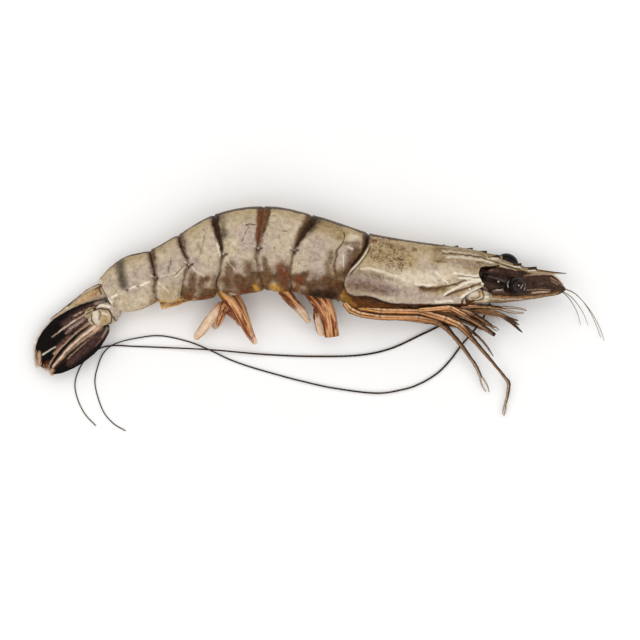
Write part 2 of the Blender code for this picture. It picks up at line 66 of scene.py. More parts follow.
# ---- measures
# A rib is a cut across the body: the point on the back (x, y), the point on the belly (x, y), half the
# body's width there, and the height of the body's middle plane. The first one lies under the carapace.
BODY_RIBS = (
    (26, 7.6, 14.4, -17, 8.6, 9.2), (15.6, 10, 4.5, -14.8, 9.4, 9.2),
    (-3.7, 16.2, -11.5, -12.3, 10.8, 10.2), (-21.3, 19.5, -22.1, -11.5, 11, 10.4),
    (-39.4, 16.8, -36.1, -13.5, 10.2, 9.7), (-53.7, 9.2, -51.2, -15.2, 8.6, 8.2),
    (-64, 3.7, -61.1, -16, 7.2, 6.9), (-73.2, 1.2, -68.7, -18.1, 6.2, 6),
    (-79.2, -2.7, -73, -18.8, 5.4, 5.2), (-83.8, -7.2, -77, -19.1, 4.5, 4.5),
)
JOINT_RIBS = (1, 2, 3, 4, 5, 6, 9)
# How far each joint's visible edge bows towards the head, at these shares of the height from belly to back.
BOW_HEIGHTS = (0.0, 0.12, 0.27, 0.4, 0.52, 0.66, 0.82, 1.0)
JOINT_BOWS = (
    (2.5, 1.9, -1.5, -1.2, 0.2, 1.6, 2.3, 1), (-0.1, -1.6, -3.1, -3.4, -3.3, -2.8, -1.6, 0),
    (0.5, -0.5, -2, -2.6, -2.1, -1.4, -0.7, -0.3), (-2.6, -2, -0.6, 0.2, 1.1, 0.5, -0.3, -0.7),
    (-0.8, -0.2, 0.7, 1.9, 3.3, 2.2, 1.2, 0.4), (-0.1, -0.2, -0.2, 0.8, 1, 0.8, 0.5, 0),
    (-0.2, -0.9, -2.2, -2.6, -2.8, -1.6, -0.7, -0.6),
)
# How far the lower corners beside each joint are cut back, as a share of half the body's height.
JOINT_NOTCHES = (0.1, 0.06, 0.04, 0.26, 0.1, 0.06, 0.05)
HINGES = ((-10.7, 2.7), (-23.8, 3.4), (-36.6, 1.3), (-49.2, -2.3), (-61.8, -7.2))
# Marks around every hinge: mask, strength, first and last half width, and a line from the hinge's middle.
# The pale marks are painted glints.
HINGE_MARKS = (
    ("band", 0.95, 0.45, 0.25, (-1, 0.45, -0.2, 0.15)),
    ("band", 0.95, 0.3, 0.5, (0.4, -0.1, 1, 0.2)),
    ("band", 0.85, 0.35, 0.2, (0, -0.4, 0.15, -1.4)),
    ("rust", 0.7, 0.5, 0.4, (-0.4, -0.5, 0.6, -0.8)),
    ("cream", 0.9, 0.3, 0.15, (-1.6, 1.1, -0.8, 0.65)),
    ("cream", 0.9, 0.22, 0.22, (0.1, 0.3)),
)
# How each joint is coloured above its hinge: the tone and width behind its seam, the tone and width before
# it, and the width of a smoky patch further before it. Widths are in millimetres at the back.
JOINT_TONES = (
    ("umber", 1.7, "band", 2.4, 2.4),
    ("rust", 2.2, "umber", 1.7, 0.8),
    ("band", 1.3, "band", 1.2, 3),
    ("band", 0.75, "umber", 0.5, 1.8),
    ("band", 0.6, "umber", 0.4, 1.5),
)
# How brown each segment is along its lower edge.
LOW_TONES = (0.9, 0.95, 0.95, 0.75, 0.2, 0.1)
HEAD_RIBS = (
    (16, 9.8, 4.9, -15.2, 9.6, 9.3), (22.1, 8.6, 14.4, -18.6, 10.3, 9.7),
    (32.8, 6.8, 28.7, -18.5, 10.2, 9.7), (43.9, 5.3, 43.1, -18, 9.2, 9.4),
    (53.3, 3.9, 53.3, -17.6, 7.8, 9.1), (59.4, 2.7, 59, -16.6, 6.6, 8.9), (66, 1.2, 65, -15.4, 5.4, 8.8),
)
HEAD_MIDDLE = 8.9
# The carapace's lower margin: a place among the head's ribs, and the share of the height there.
CARAPACE_MARGIN = (
    (0, 0.22), (0.1, 0.15), (0.46, 0.125), (0.98, 0.18), (1.23, 0.17), (1.49, 0.115), (1.72, 0.085),
    (2.16, 0.068), (3.1, 0.052), (6, 0.05),
)
# The carapace's front margin: a share of the height, and how many ribs forward it reaches there.
CARAPACE_FRONT = (
    (0, 3.86), (0.15, 3.78), (0.22, 3.85), (0.29, 4.21), (0.35, 4.96), (0.435, 4.64), (0.53, 4.51),
    (0.62, 4.51), (0.7, 4.65), (0.735, 5.25), (0.76, 5.7), (0.8, 5.96), (1, 6),
)
ROSTRUM = (
    # x, upper y, lower y, half thickness
    (40, 5, 1.5, 1.3), (50, 4.3, 0.2, 1.7), (57.8, 2.9, -2.2, 1.8), (62, 1.8, -2.9, 1.7),
    (66.5, 0, -3.6, 1.5), (70.5, -1.6, -5, 1.3), (74, -2.7, -6.1, 1.1), (77, -3.3, -6.4, 0.95),
    (80.5, -3.9, -5.5, 0.7), (84, -4.4, -5.6, 0.5), (89.8, -5.1, -5.35, 0.2),
)
ROSTRUM_TEETH = (40.8, 45.8, 51.2, 56.4, 61.2, 69.2, 74.8)
TOOTH_LENGTH = 3.4
TOOTH_RISE = 0.85


# ---- arithmetic
def spline(rows, at):
    """Rows of numbers read along them, on a Catmull-Rom curve. Place 1.5 is between rows 1 and 2."""
    rows = np.asarray(rows, float)
    padded = np.vstack([2 * rows[0] - rows[1], rows, 2 * rows[-1] - rows[-2]])
    at = np.clip(np.asarray(at, float), 0, len(rows) - 1)
    low = np.minimum(at.astype(int), len(rows) - 2)
    t = (at - low)[..., None]
    a, b, c, d = (padded[low + k] for k in range(4))
    return 0.5 * (2 * b + (c - a) * t + (2 * a - 5 * b + 4 * c - d) * t**2 + (3 * b - a - 3 * c + d) * t**3)


def smooth(value, low, high):
    """0 below low and 1 above high, on an S-shaped curve between them."""
    t = np.clip((value - low) / (high - low), 0, 1)
    return t * t * (3 - 2 * t)


def hump(value, width):
    """A bell curve: 1 where the value is 0, and a third of that at the width."""
    return np.exp(-((value / width) ** 2))


def turns(count):
    """Angles that go once around, with none of them twice."""
    return np.linspace(0, 2 * math.pi, count, endpoint=False)


def powered(value, power):
    """The size of a number raised to a power, with its sign kept."""
    return np.sign(value) * np.abs(value) ** power


def eased(value, table, reach):
    """A table of (x, y) read at values and averaged over a reach to either side, to round its corners."""
    xs, ys = np.array(table).T
    return sum(np.interp(value + k * reach / 2, xs, ys) for k in range(-2, 3)) / 5


def unit(vectors):
    """Vectors at length 1."""
    return vectors / np.maximum(np.linalg.norm(vectors, axis=-1, keepdims=True), 1e-9)


def clouds(x, y, size, seed):
    """Uneven values from about -1 to 1: random numbers on two square lattices, turned from each other so
    that no grid shows, and eased between the four nearest."""
    total = 0.0
    for turn in (0.35, 1.3):
        table = np.random.default_rng(seed * 7 + int(turn)).uniform(-0.8, 0.8, (64, 64))
        u = (math.cos(turn) * np.asarray(x) + math.sin(turn) * np.asarray(y)) / size + 640
        v = (math.cos(turn) * np.asarray(y) - math.sin(turn) * np.asarray(x)) / size + 640
        i, j = np.floor(u).astype(int), np.floor(v).astype(int)
        s, t = smooth(u - i, 0, 1), smooth(v - j, 0, 1)
        i, j, right, above = i % 64, j % 64, (i + 1) % 64, (j + 1) % 64
        low = table[i, j] * (1 - s) + table[right, j] * s
        high = table[i, above] * (1 - s) + table[right, above] * s
        total = total + low * (1 - t) + high * t
    return total


def wavered(x, y, reach=1.0):
    """Places moved by up to a third of a millimetre, times the reach, so that paint runs unevenly."""
    return (
        x + reach * (0.26 * clouds(x, y, 1.7, 7) + 0.1 * clouds(x, y, 0.6, 8)),
        y + reach * (0.26 * clouds(x, y, 1.7, 9) + 0.1 * clouds(x, y, 0.6, 10)),
    )


def stroke(x, y, first_width, last_width, line, power=3):
    """A brush stroke in the plan: e to the minus (distance / half width) to a power, for the distance to
    the nearest run of a line (x, y, x, y and so on). The half width goes from the first to the last number
    along the line. Power 3 gives a flat brush with a clear edge, and power 2 a bell curve."""
    best = np.zeros(np.shape(x))
    points = np.reshape(line, (-1, 2))
    runs = max(len(points) - 1, 1)
    for k, (start, end) in enumerate(zip(points, points[-runs:])):
        way = end - start
        t = np.clip(((x - start[0]) * way[0] + (y - start[1]) * way[1]) / max(way @ way, 1e-9), 0, 1)
        away = np.hypot(x - start[0] - t * way[0], y - start[1] - t * way[1])
        width = first_width + (last_width - first_width) * (k + t) / runs
        best = np.maximum(best, np.exp(-((away / width) ** power)))
    return best


def paint(x, y, rows, masks=None, waver=1.0):
    """Masks from rows of (mask, strength, first half width, last half width, line), added to those given.
    A row may end in a height, for relief. One without a mask is relief alone."""
    masks = dict(masks or {})
    x, y = wavered(x, y, waver)
    for name, strength, first, last, line, *_ in rows:
        if name:
            lay(masks, name, strength * stroke(x, y, first, last, line))
    return masks


def lay(masks, name, laid):
    """Adds a mask to those given. Where both show, the stronger one counts."""
    masks[name] = np.maximum(masks.get(name, 0.0), laid)


def relief(x, y, rows, waver=1.0):
    """Heights in millimetres, added up, from the rows that end in one. A ridge is wider than its paint."""
    x, y = wavered(x, y, waver)
    spread = 1.3
    drawn = (row for row in rows if len(row) == 6)
    heights = (row[5] * stroke(x, y, spread * row[2], spread * row[3], row[4], power=2) for row in drawn)
    return sum(heights, 0 * x)


# ---- skins
def outward(grid):
    """Unit directions that point out of a tube of rings, from the two ways that its skin runs."""
    around = np.roll(grid, -1, axis=1) - np.roll(grid, 1, axis=1)
    centres = grid.mean(axis=1, keepdims=True)
    along = np.gradient(centres, axis=0) + 0.35 * (np.gradient(grid, axis=0) - np.gradient(centres, axis=0))
    normal = unit(np.cross(around, along))
    facing = np.sign(np.einsum("rck,rck->rc", normal, grid - centres).sum(axis=1))
    return normal * np.where(facing < 0, -1, 1)[:, None, None]


def raised(grid, height):
    """A tube's skin moved outwards by heights in millimetres."""
    return grid + outward(grid) * height[..., None]


def rested(grid):
    """Skin that would be below the table is pressed up onto it."""
    grid = grid.copy()
    grid[..., 2] = np.maximum(grid[..., 2], LOWEST_SKIN)
    return grid


def skin(grid, masks=None, finish=0):
    """A closed tube of quads over a grid of points (rings, points, xyz), with a fan at each end. The map
    runs from 0 to 1 along and around. The finish is the number of the piece's material."""
    rings, count = grid.shape[:2]
    ids = np.arange(rings * count).reshape(rings, count)
    beside = np.roll(ids, -1, axis=1)
    quads = np.stack([ids[:-1], beside[:-1], beside[1:], ids[1:]], axis=-1).reshape(-1, 4)
    row, column = np.meshgrid(np.arange(rings - 1), np.arange(count), indexing="ij")
    along = np.stack([row, row, row + 1, row + 1], axis=-1) / (rings - 1)
    around = np.stack([column, column + 1, column + 1, column], axis=-1) / count
    near, far = np.full(count, rings * count), np.full(count, rings * count + 1)
    first_fan = np.stack([beside[0], ids[0], near], axis=-1)
    last_fan = np.stack([ids[-1], beside[-1], far], axis=-1)
    points = np.concatenate([grid.reshape(-1, 3), grid[[0, -1]].mean(axis=1)])
    spread = {}
    for name, mask in (masks or {}).items():
        mask = np.broadcast_to(mask, (rings, count))
        spread[name] = np.concatenate([mask.ravel(), mask[[0, -1]].mean(axis=1)])
    fan_map = np.zeros((2, count * 3, 2))
    fan_map[1, :, 0] = 1.0
    chart = (np.stack([along, around], axis=-1), fan_map.reshape(-1, 2))
    return facing_out(points, quads, np.concatenate([first_fan, last_fan]), chart, spread, finish)


def facing_out(points, quads, fans, chart, masks, finish):
    """A skin's points, faces, map and masks as one shell. Where its volume comes out negative, its faces
    look inwards and are turned round."""
    a, b, c, d = (points[quads[:, k]] - points.mean(axis=0) for k in range(4))
    if np.einsum("ij,ij->", a, np.cross(b, c) + np.cross(c, d)) < 0:
        quads, fans = quads[:, ::-1], fans[:, ::-1]
        chart = (chart[0][..., ::-1, :], chart[1])
    return {"points": points, "quads": quads, "fans": fans, "map": chart, "masks": masks, "finish": finish}


def bristles(roots, ways, lengths, radius, droop, finish=0, masks=None):
    """Many bristles at once: three-sided cones in four rings, from their roots along their ways. A bristle
    bends by its droop vector times the square of the share of its length."""
    share = np.linspace(0, 1, 4)[None, :, None]
    ways = unit(ways)[:, None]
    lengths = lengths[:, None, None]
    centres = roots[:, None] + ways * lengths * share + np.array(droop) * lengths * share**2
    side = unit(np.cross(ways, UP) + 1e-6)
    depth = np.cross(ways, side)
    turn = turns(3)[:, None]
    ring = np.cos(turn) * side[:, :, None] + np.sin(turn) * depth[:, :, None]
    points = centres[:, :, None] + ring * (radius * (1 - 0.85 * share))[..., None]
    ids = np.arange(points[..., 0].size).reshape(points.shape[:3])
    beside = np.roll(ids, -1, axis=2)
    quads = np.stack([ids[:, :-1], ids[:, 1:], beside[:, 1:], beside[:, :-1]], axis=-1).reshape(-1, 4)
    fans = np.concatenate([ids[:, 0], ids[:, -1, ::-1]])
    points = points.reshape(-1, 3)
    points[:, 2] = np.maximum(points[:, 2], LOWEST_SKIN)
    spread = {name: np.full(len(points), value) for name, value in (masks or {}).items()}
    chart = (np.zeros((*quads.shape, 2)), np.zeros((fans.size, 2)))
    return facing_out(points, quads, fans, chart, spread, finish)


def make_piece(name, shells, finishes):
    """Joins skins into one smooth mesh in metres, its masks as attributes, and ties it to the frame."""
    starts = np.cumsum([0] + [len(shell["points"]) for shell in shells])
    corners, sizes, numbers, maps = [], [], [], []
    for shell, start in zip(shells, starts):
        for faces, chart in zip((shell["quads"], shell["fans"]), shell["map"]):
            corners.append(faces.ravel() + start)
            sizes.append(np.full(len(faces), faces.shape[1]))
            numbers.append(np.full(len(faces), shell["finish"]))
            maps.append(chart.reshape(-1, 2))
    corners, sizes, numbers, maps = map(np.concatenate, (corners, sizes, numbers, maps))
    mesh = bpy.data.meshes.new(name)
    mesh.vertices.add(starts[-1])
    points = np.concatenate([shell["points"] for shell in shells])
    low, high = (np.array(corner) / MM for corner in CAD_BOX)
    mesh.vertices.foreach_set("co", np.clip(points, low, high).ravel() * MM)
    mesh.loops.add(len(corners))
    mesh.loops.foreach_set("vertex_index", corners)
    mesh.polygons.add(len(sizes))
    mesh.polygons.foreach_set("loop_start", np.cumsum(sizes) - sizes)
    mesh.polygons.foreach_set("loop_total", sizes)
    mesh.polygons.foreach_set("material_index", numbers)
    mesh.update(calc_edges=True)
    mesh.uv_layers.new(name="along_around").data.foreach_set("uv", maps.ravel())
    for mask in sorted({key for shell in shells for key in shell["masks"]}):
        parts = [shell["masks"].get(mask, np.zeros(len(shell["points"]))) for shell in shells]
        values = np.clip(np.concatenate(parts), 0, 1).astype(np.float32)
        mesh.attributes.new(mask, "FLOAT", "POINT").data.foreach_set("value", values)
    mesh.shade_smooth()
    for finish in finishes:
        mesh.materials.append(finish)
    piece = bpy.data.objects.new(name, mesh)
    bpy.context.scene.collection.objects.link(piece)
    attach(piece, "root")
    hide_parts(name.removesuffix("_skin"))


def tube(route, wide, deep, sides):
    """An oval section along a route: half as wide as given across it in the plan, and half as deep as given
    the other way. Returns the grid of points."""
    tangent = unit(np.gradient(route, axis=0))
    side = unit(np.cross(UP, tangent))
    depth = np.cross(tangent, side)
    turn = turns(sides)[:, None]
    wide, deep = (part[:, None, None] for part in (wide, deep))
    return route[:, None] + np.cos(turn) * wide * side[:, None] + np.sin(turn) * deep * depth[:, None]


def round_ends(count, ends=0.04, blunt=0.35):
    """Shares of the full width along a limb, which swells from nothing over each end as a circle does."""
    share = np.linspace(0, 1, count)
    near = np.clip(np.minimum(share, 1 - share) / ends, 0, 1)
    return np.maximum(np.sqrt(1 - (1 - near) ** 2), 0.02) ** blunt


# ---- materials
def srgb(red, green, blue):
    """A colour given in 0 to 255 as a screen shows it, as the shader's linear one."""
    linear = [((c / 255 + 0.055) / 1.055) ** 2.4 if c > 10 else c / 3294.6 for c in (red, green, blue)]
    return (*linear, 1.0)


# Each tint as a screen shows it, in 0 to 255: where it is light, and where it is shaded.
TINTS = {
    "shell": ((207, 190, 163), (171, 151, 124)),
    "olive": ((172, 148, 98), (134, 108, 62)),
    "lilac": ((193, 174, 162), (151, 131, 117)),
    "umber": ((104, 64, 26), (58, 33, 9)),
    "rust": ((120, 56, 20), (76, 34, 10)),
    "gold": ((206, 156, 66), (156, 102, 32)),
    # pale skin, also used for painted highlights and glints
    "cream": ((248, 239, 222), (230, 216, 194)),
    "olive_brown": ((112, 86, 40), (72, 50, 18)),
    "smoke": ((90, 81, 64), (60, 51, 38)),
    "band": ((56, 31, 12), (26, 14, 5)),
    "gill": ((98, 56, 18), (58, 31, 7)),
    "orange": ((164, 74, 22), (104, 40, 10)),
    "leg": ((208, 138, 82), (152, 92, 46)),
    # a pink tint, used for painted highlights along keels and streaks
    "blush": ((255, 212, 156), (240, 182, 122)),
    "paddle": ((238, 212, 184), (220, 186, 152)),
    "black": ((17, 12, 10), (8, 6, 5)),
    "tan": ((218, 182, 152), (174, 136, 108)),
    "mauve": ((114, 80, 72), (72, 46, 42)),
    "blade": ((72, 47, 35), (36, 21, 15)),
    "feeler": ((46, 39, 25), (25, 20, 11)),
    "eye": ((20, 13, 11), (8, 5, 5)),
}
COLOURS = ("Light", "Dark", "Colour")
# Pigment dots: how many to a metre, their radius as a share of their spacing, and their tint.
DOT_SIZE = 1150.0
DOT_RADIUS = 0.36
DOT_TINT = (70, 52, 36)
BUMP_DEPTH = 0.00012
SKIN_IOR = 1.42
WATER_IOR = 1.33


def fill(tree, node, inputs):
    """Fills or links a node's inputs by name or number."""
    for key, value in inputs.items():
        if isinstance(value, bpy.types.NodeSocket):
            tree.links.new(value, node.inputs[key])
        else:
            node.inputs[key].default_value = value


def put(tree, kind, inputs=None, **settings):
    """Adds a shader node, sets its properties and fills its inputs."""
    node = tree.nodes.new("ShaderNode" + kind)
    for key, value in settings.items():
        setattr(node, key, value)
    fill(tree, node, inputs or {})
    return node


def sums(tree, operation, *values, clamp=False):
    """The result of a maths node."""
    return put(tree, "Math", dict(enumerate(values)), operation=operation, use_clamp=clamp).outputs[0]


def between(tree, value, low, high, first, last):
    """A value mapped from one range to another, held at its ends."""
    ends = {"From Min": low, "From Max": high, "To Min": first, "To Max": last}
    return put(tree, "MapRange", {"Value": value} | ends).outputs["Result"]


def noise(tree, size, detail, roughness=0.5):
    """Smooth noise on the piece's own coordinates."""
    place = put(tree, "TexCoord").outputs["Object"]
    inputs = {"Vector": place, "Scale": size, "Detail": detail, "Roughness": roughness}
    return put(tree, "TexNoise", inputs).outputs["Fac"]


def cells(tree, size):
    """A Voronoi pattern on the piece's own coordinates."""
    return put(tree, "TexVoronoi", {"Vector": put(tree, "TexCoord").outputs["Object"], "Scale": size}).outputs


def start_group(name, inputs, outputs):
    """An empty shader node group with the named sockets. Returns it, its inputs and its output node."""
    group = bpy.data.node_groups.new(name, "ShaderNodeTree")
    for names, way in ((inputs, "INPUT"), (outputs, "OUTPUT")):
        for socket in names.split():
            kind = "NodeSocketColor" if socket in COLOURS else "NodeSocketFloat"
            group.interface.new_socket(socket, in_out=way, socket_type=kind)
    return group, group.nodes.new("NodeGroupInput").outputs, group.nodes.new("NodeGroupOutput")


def mottle_group():
    """Two tints in soft blotches: noise, stretched by a contrast, mixes them."""
    group, given, out = start_group("blotches", "Light Dark Size Contrast", "Colour")
    centred = sums(group, "SUBTRACT", noise(group, given["Size"], 4.0, 0.62), 0.5)
    share = sums(group, "MULTIPLY_ADD", centred, given["Contrast"], 0.5, clamp=True)
    fill(group, out, {"Colour": mix(group, share, given["Light"], given["Dark"])})
    return group


def ragged_group():
    """A mask with a broken edge: noise moves it up or down most where it is half way, and nowhere else."""
    group, given, out = start_group("broken edge", "Mask Size Amount", "Mask")
    centred = sums(group, "SUBTRACT", noise(group, given["Size"], 3.0, 0.7), 0.5)
    middle = sums(group, "MULTIPLY", given["Mask"], sums(group, "SUBTRACT", 1.0, given["Mask"]))
    push = sums(group, "MULTIPLY", centred, given["Amount"])
    fill(group, out, {"Mask": sums(group, "MULTIPLY_ADD", push, middle, given["Mask"], clamp=True)})
    return group


def freckle_group():
    """Small dark pigment dots: cells of a Voronoi pattern, each with a dot whose size is its own."""
    group, given, out = start_group("pigment dots", "Size Radius", "Mask")
    dots = cells(group, given["Size"])
    own = put(group, "SeparateColor", {"Color": dots["Color"]}).outputs[0]
    reach = sums(group, "MULTIPLY", own, given["Radius"])
    fill(group, out, {"Mask": between(group, dots["Distance"], 0.0, reach, 1.0, 0.0)})
    return group


def film_group():
    """A wet film: roughness between two values in blotches, and a fine uneven height for a bump."""
    group, given, out = start_group("wet film", "Size Wet Dry Pits", "Roughness Height")
    shine = between(group, noise(group, given["Size"], 2.0), 0.35, 0.65, given["Wet"], given["Dry"])
    finer = sums(group, "MULTIPLY", given["Size"], 3.4)
    fine = noise(group, finer, 3.0, 0.6)
    height = sums(group, "MULTIPLY_ADD", cells(group, finer)["Distance"], given["Pits"], fine)
    fill(group, out, {"Roughness": shine, "Height": height})
    return group


def stripe_group():
    """Lines from the piece's own map: a sine along or around it, as a height and a mask."""
    group, given, out = start_group("fine lines", "Along Around Wander", "Height")
    places = put(group, "UVMap", uv_map="along_around").outputs["UV"]
    parts = put(group, "SeparateXYZ", {"Vector": places}).outputs
    first = sums(group, "MULTIPLY", parts["X"], given["Along"])
    both = sums(group, "MULTIPLY_ADD", parts["Y"], given["Around"], first)
    bent = sums(group, "MULTIPLY_ADD", noise(group, 260.0, 1.0), given["Wander"], both)
    wave = sums(group, "SINE", sums(group, "MULTIPLY", bent, 2 * math.pi))
    fill(group, out, {"Height": sums(group, "MULTIPLY_ADD", wave, 0.5, 0.5)})
    return group


def use(tree, group, inputs):
    """Places a node group in a tree with its own values."""
    node = put(tree, "Group", node_tree=group)
    fill(tree, node, inputs)
    return node.outputs


def mix(tree, share, first, second, blend="MIX"):
    """Two colours mixed by a share."""
    return put(tree, "Mix", {0: share, 6: first, 7: second}, data_type="RGBA", blend_type=blend).outputs[2]


class Finishes:
    """The wet finishes of the prawn's pieces. Each is a ground tint, and coats that masks lay over it."""

    def __init__(self):
        self.blotches = mottle_group()
        self.broken = ragged_group()
        self.dots = freckle_group()
        self.film = film_group()
        self.lines = stripe_group()

    def blotched(self, tree, tint, size, contrast):
        """One tint in its light and shaded form."""
        light, dark = (srgb(*part) for part in TINTS[tint])
        values = {"Light": light, "Dark": dark, "Size": size, "Contrast": contrast}
        return use(tree, self.blotches, values)["Colour"]

    def make(
        self, name, ground, coats, grain=420.0, dots=0.35, wet=0.2, dry=0.45, pits=0.5, bump=0.35, lines=None,
        line_tint=None, line_share=0.35, coat=0.1, film_blur=0.2, gloss=0.08,
    ):
        """A finish: blotches of the ground, the coats in order with their strengths, pigment dots, an
        optional set of fine lines (along, around, wander, depth), a film of water over a fine bump, and a
        clear coat."""
        material = bpy.data.materials.new(name)
        material.use_nodes = True
        tree = material.node_tree
        shader = tree.nodes["Principled BSDF"]
        colour = self.blotched(tree, ground, grain * 1.35, 3.2)
        for mask, strength in coats.items():
            laid = put(tree, "Attribute", attribute_name=mask).outputs["Fac"]
            edge = use(tree, self.broken, {"Mask": laid, "Size": grain * 3.1, "Amount": 3.4})["Mask"]
            part = sums(tree, "MULTIPLY", edge, strength)
            colour = mix(tree, part, colour, self.blotched(tree, mask, grain * 1.7, 3.6))
        spots = use(tree, self.dots, {"Size": DOT_SIZE, "Radius": DOT_RADIUS})["Mask"]
        share = sums(tree, "MULTIPLY", spots, dots)
        colour = mix(tree, share, colour, srgb(*DOT_TINT), "MULTIPLY")
        film = use(tree, self.film, {"Size": grain * 1.3, "Wet": wet, "Dry": dry, "Pits": pits})
        height = film["Height"]
        if lines:
            along, around, wander, depth = lines
            ridge = use(tree, self.lines, {"Along": along, "Around": around, "Wander": wander})["Height"]
            if line_tint:
                part = sums(tree, "MULTIPLY", ridge, line_share)
                colour = mix(tree, part, colour, srgb(*TINTS[line_tint][0]))
            height = sums(tree, "MULTIPLY_ADD", ridge, depth, height)
        bumps = put(tree, "Bump", {"Strength": bump, "Distance": BUMP_DEPTH, "Height": height})
        normal = bumps.outputs["Normal"]
        fill(tree, shader, {"Base Color": colour, "Roughness": film["Roughness"], "Normal": normal})
        shader.inputs["IOR"].default_value = SKIN_IOR
        shader.inputs["Specular IOR Level"].default_value = gloss
        shader.inputs["Coat Weight"].default_value = coat
        shader.inputs["Coat Roughness"].default_value = film_blur
        shader.inputs["Coat IOR"].default_value = WATER_IOR
        return material


finishes = Finishes()
SHELL = finishes.make(
    "wet shell", "shell", dots=0.65,
    coats=dict(olive=0.75, lilac=0.8, mauve=0.8, smoke=0.92, olive_brown=0.9, umber=0.92, rust=0.85,
               gold=0.85, band=0.96, cream=0.85),
)
GILL = finishes.make(
    "gill side", "gill", dict(gold=0.8, rust=0.7, olive=0.6, cream=0.8, band=0.95),
    dots=0.2, dry=0.35, pits=0.2, bump=0.15,
)
LEG = finishes.make(
    "walking leg", "leg",
    dict(olive_brown=0.85, tan=0.9, gold=0.7, rust=0.8, blush=0.9, cream=0.8, band=0.95),
    grain=620.0, dots=0.1, dry=0.4, bump=0.15,
)
PADDLE = finishes.make(
    "swimming leg", "paddle",
    dict(orange=0.95, rust=0.9, gold=0.9, blush=0.6, smoke=0.7, cream=0.7, band=0.8), grain=520.0,
    dots=0.12, wet=0.18, dry=0.4, lines=(0.0, 22.0, 1.0, 0.8), line_tint="orange", line_share=0.2,
)
FAN = finishes.make(
    "tail fan", "black", dict(mauve=0.9, lilac=0.6, rust=0.75, tan=0.9, smoke=0.8, cream=0.75, band=0.9),
    grain=520.0, dots=0.0, wet=0.25, dry=0.4, lines=(0.0, 30.0, 1.2, 0.8), coat=0.05, bump=0.05,
    film_blur=0.12, gloss=0.05,
)
KNOB = finishes.make(
    "limb base", "shell", grain=520.0, dots=0.25, wet=0.15, dry=0.35, bump=0.2,
    coats=dict(olive=0.8, umber=0.9, lilac=0.7, gold=0.75, rust=0.7, smoke=0.8, cream=0.85, band=0.95),
)
BLADE = finishes.make(
    "head limb", "blade", grain=560.0, dots=0.1, dry=0.35, lines=(0.0, 24.0, 1.5, 0.9), coat=0.12, bump=0.1,
    film_blur=0.08,
    coats=dict(olive_brown=0.9, olive=0.9, rust=0.8, lilac=0.7, tan=0.85, leg=0.6, mauve=0.6, smoke=0.7,
               cream=0.8, band=0.9),
)
EYE = finishes.make(
    "eye", "eye", dict(blade=0.8, mauve=0.8, cream=0.85), grain=900.0, dots=0.1, wet=0.06, dry=0.16,
    pits=1.2, coat=0.25, bump=0.12, film_blur=0.05,
)
FEELER = finishes.make(
    "feeler", "feeler", dict(olive=0.6, olive_brown=0.5, band=0.9), grain=380.0, dots=0.2, wet=0.3, dry=0.5,
    lines=(420.0, 0.0, 0.3, 1.6), line_tint="band", line_share=0.5,
)
HAIR = finishes.make(
    "bristle", "tan", dict(rust=0.8, gold=0.8), grain=300.0, dots=0.0, wet=0.3, dry=0.5, coat=0.2,
)


# ---- abdomen
SEGMENTS = 6
SEGMENT_RINGS = 128
SEGMENT_SIDES = 288
# How far a segment reaches in under the one before, in how many rings, its rear lip and the hollow behind.
TUCK = 2.2
TUCK_RINGS = 11
LIP = 0.22
HOLLOW = 1.6
# How far the belly is raised between the flaps, as a share of half the body's height.
RECESS = 0.36
LAST_RECESS = 0.14
# The flanks below are squarer than an ellipse: their width goes with this power of the cosine.
FLANK_POWER = 0.55
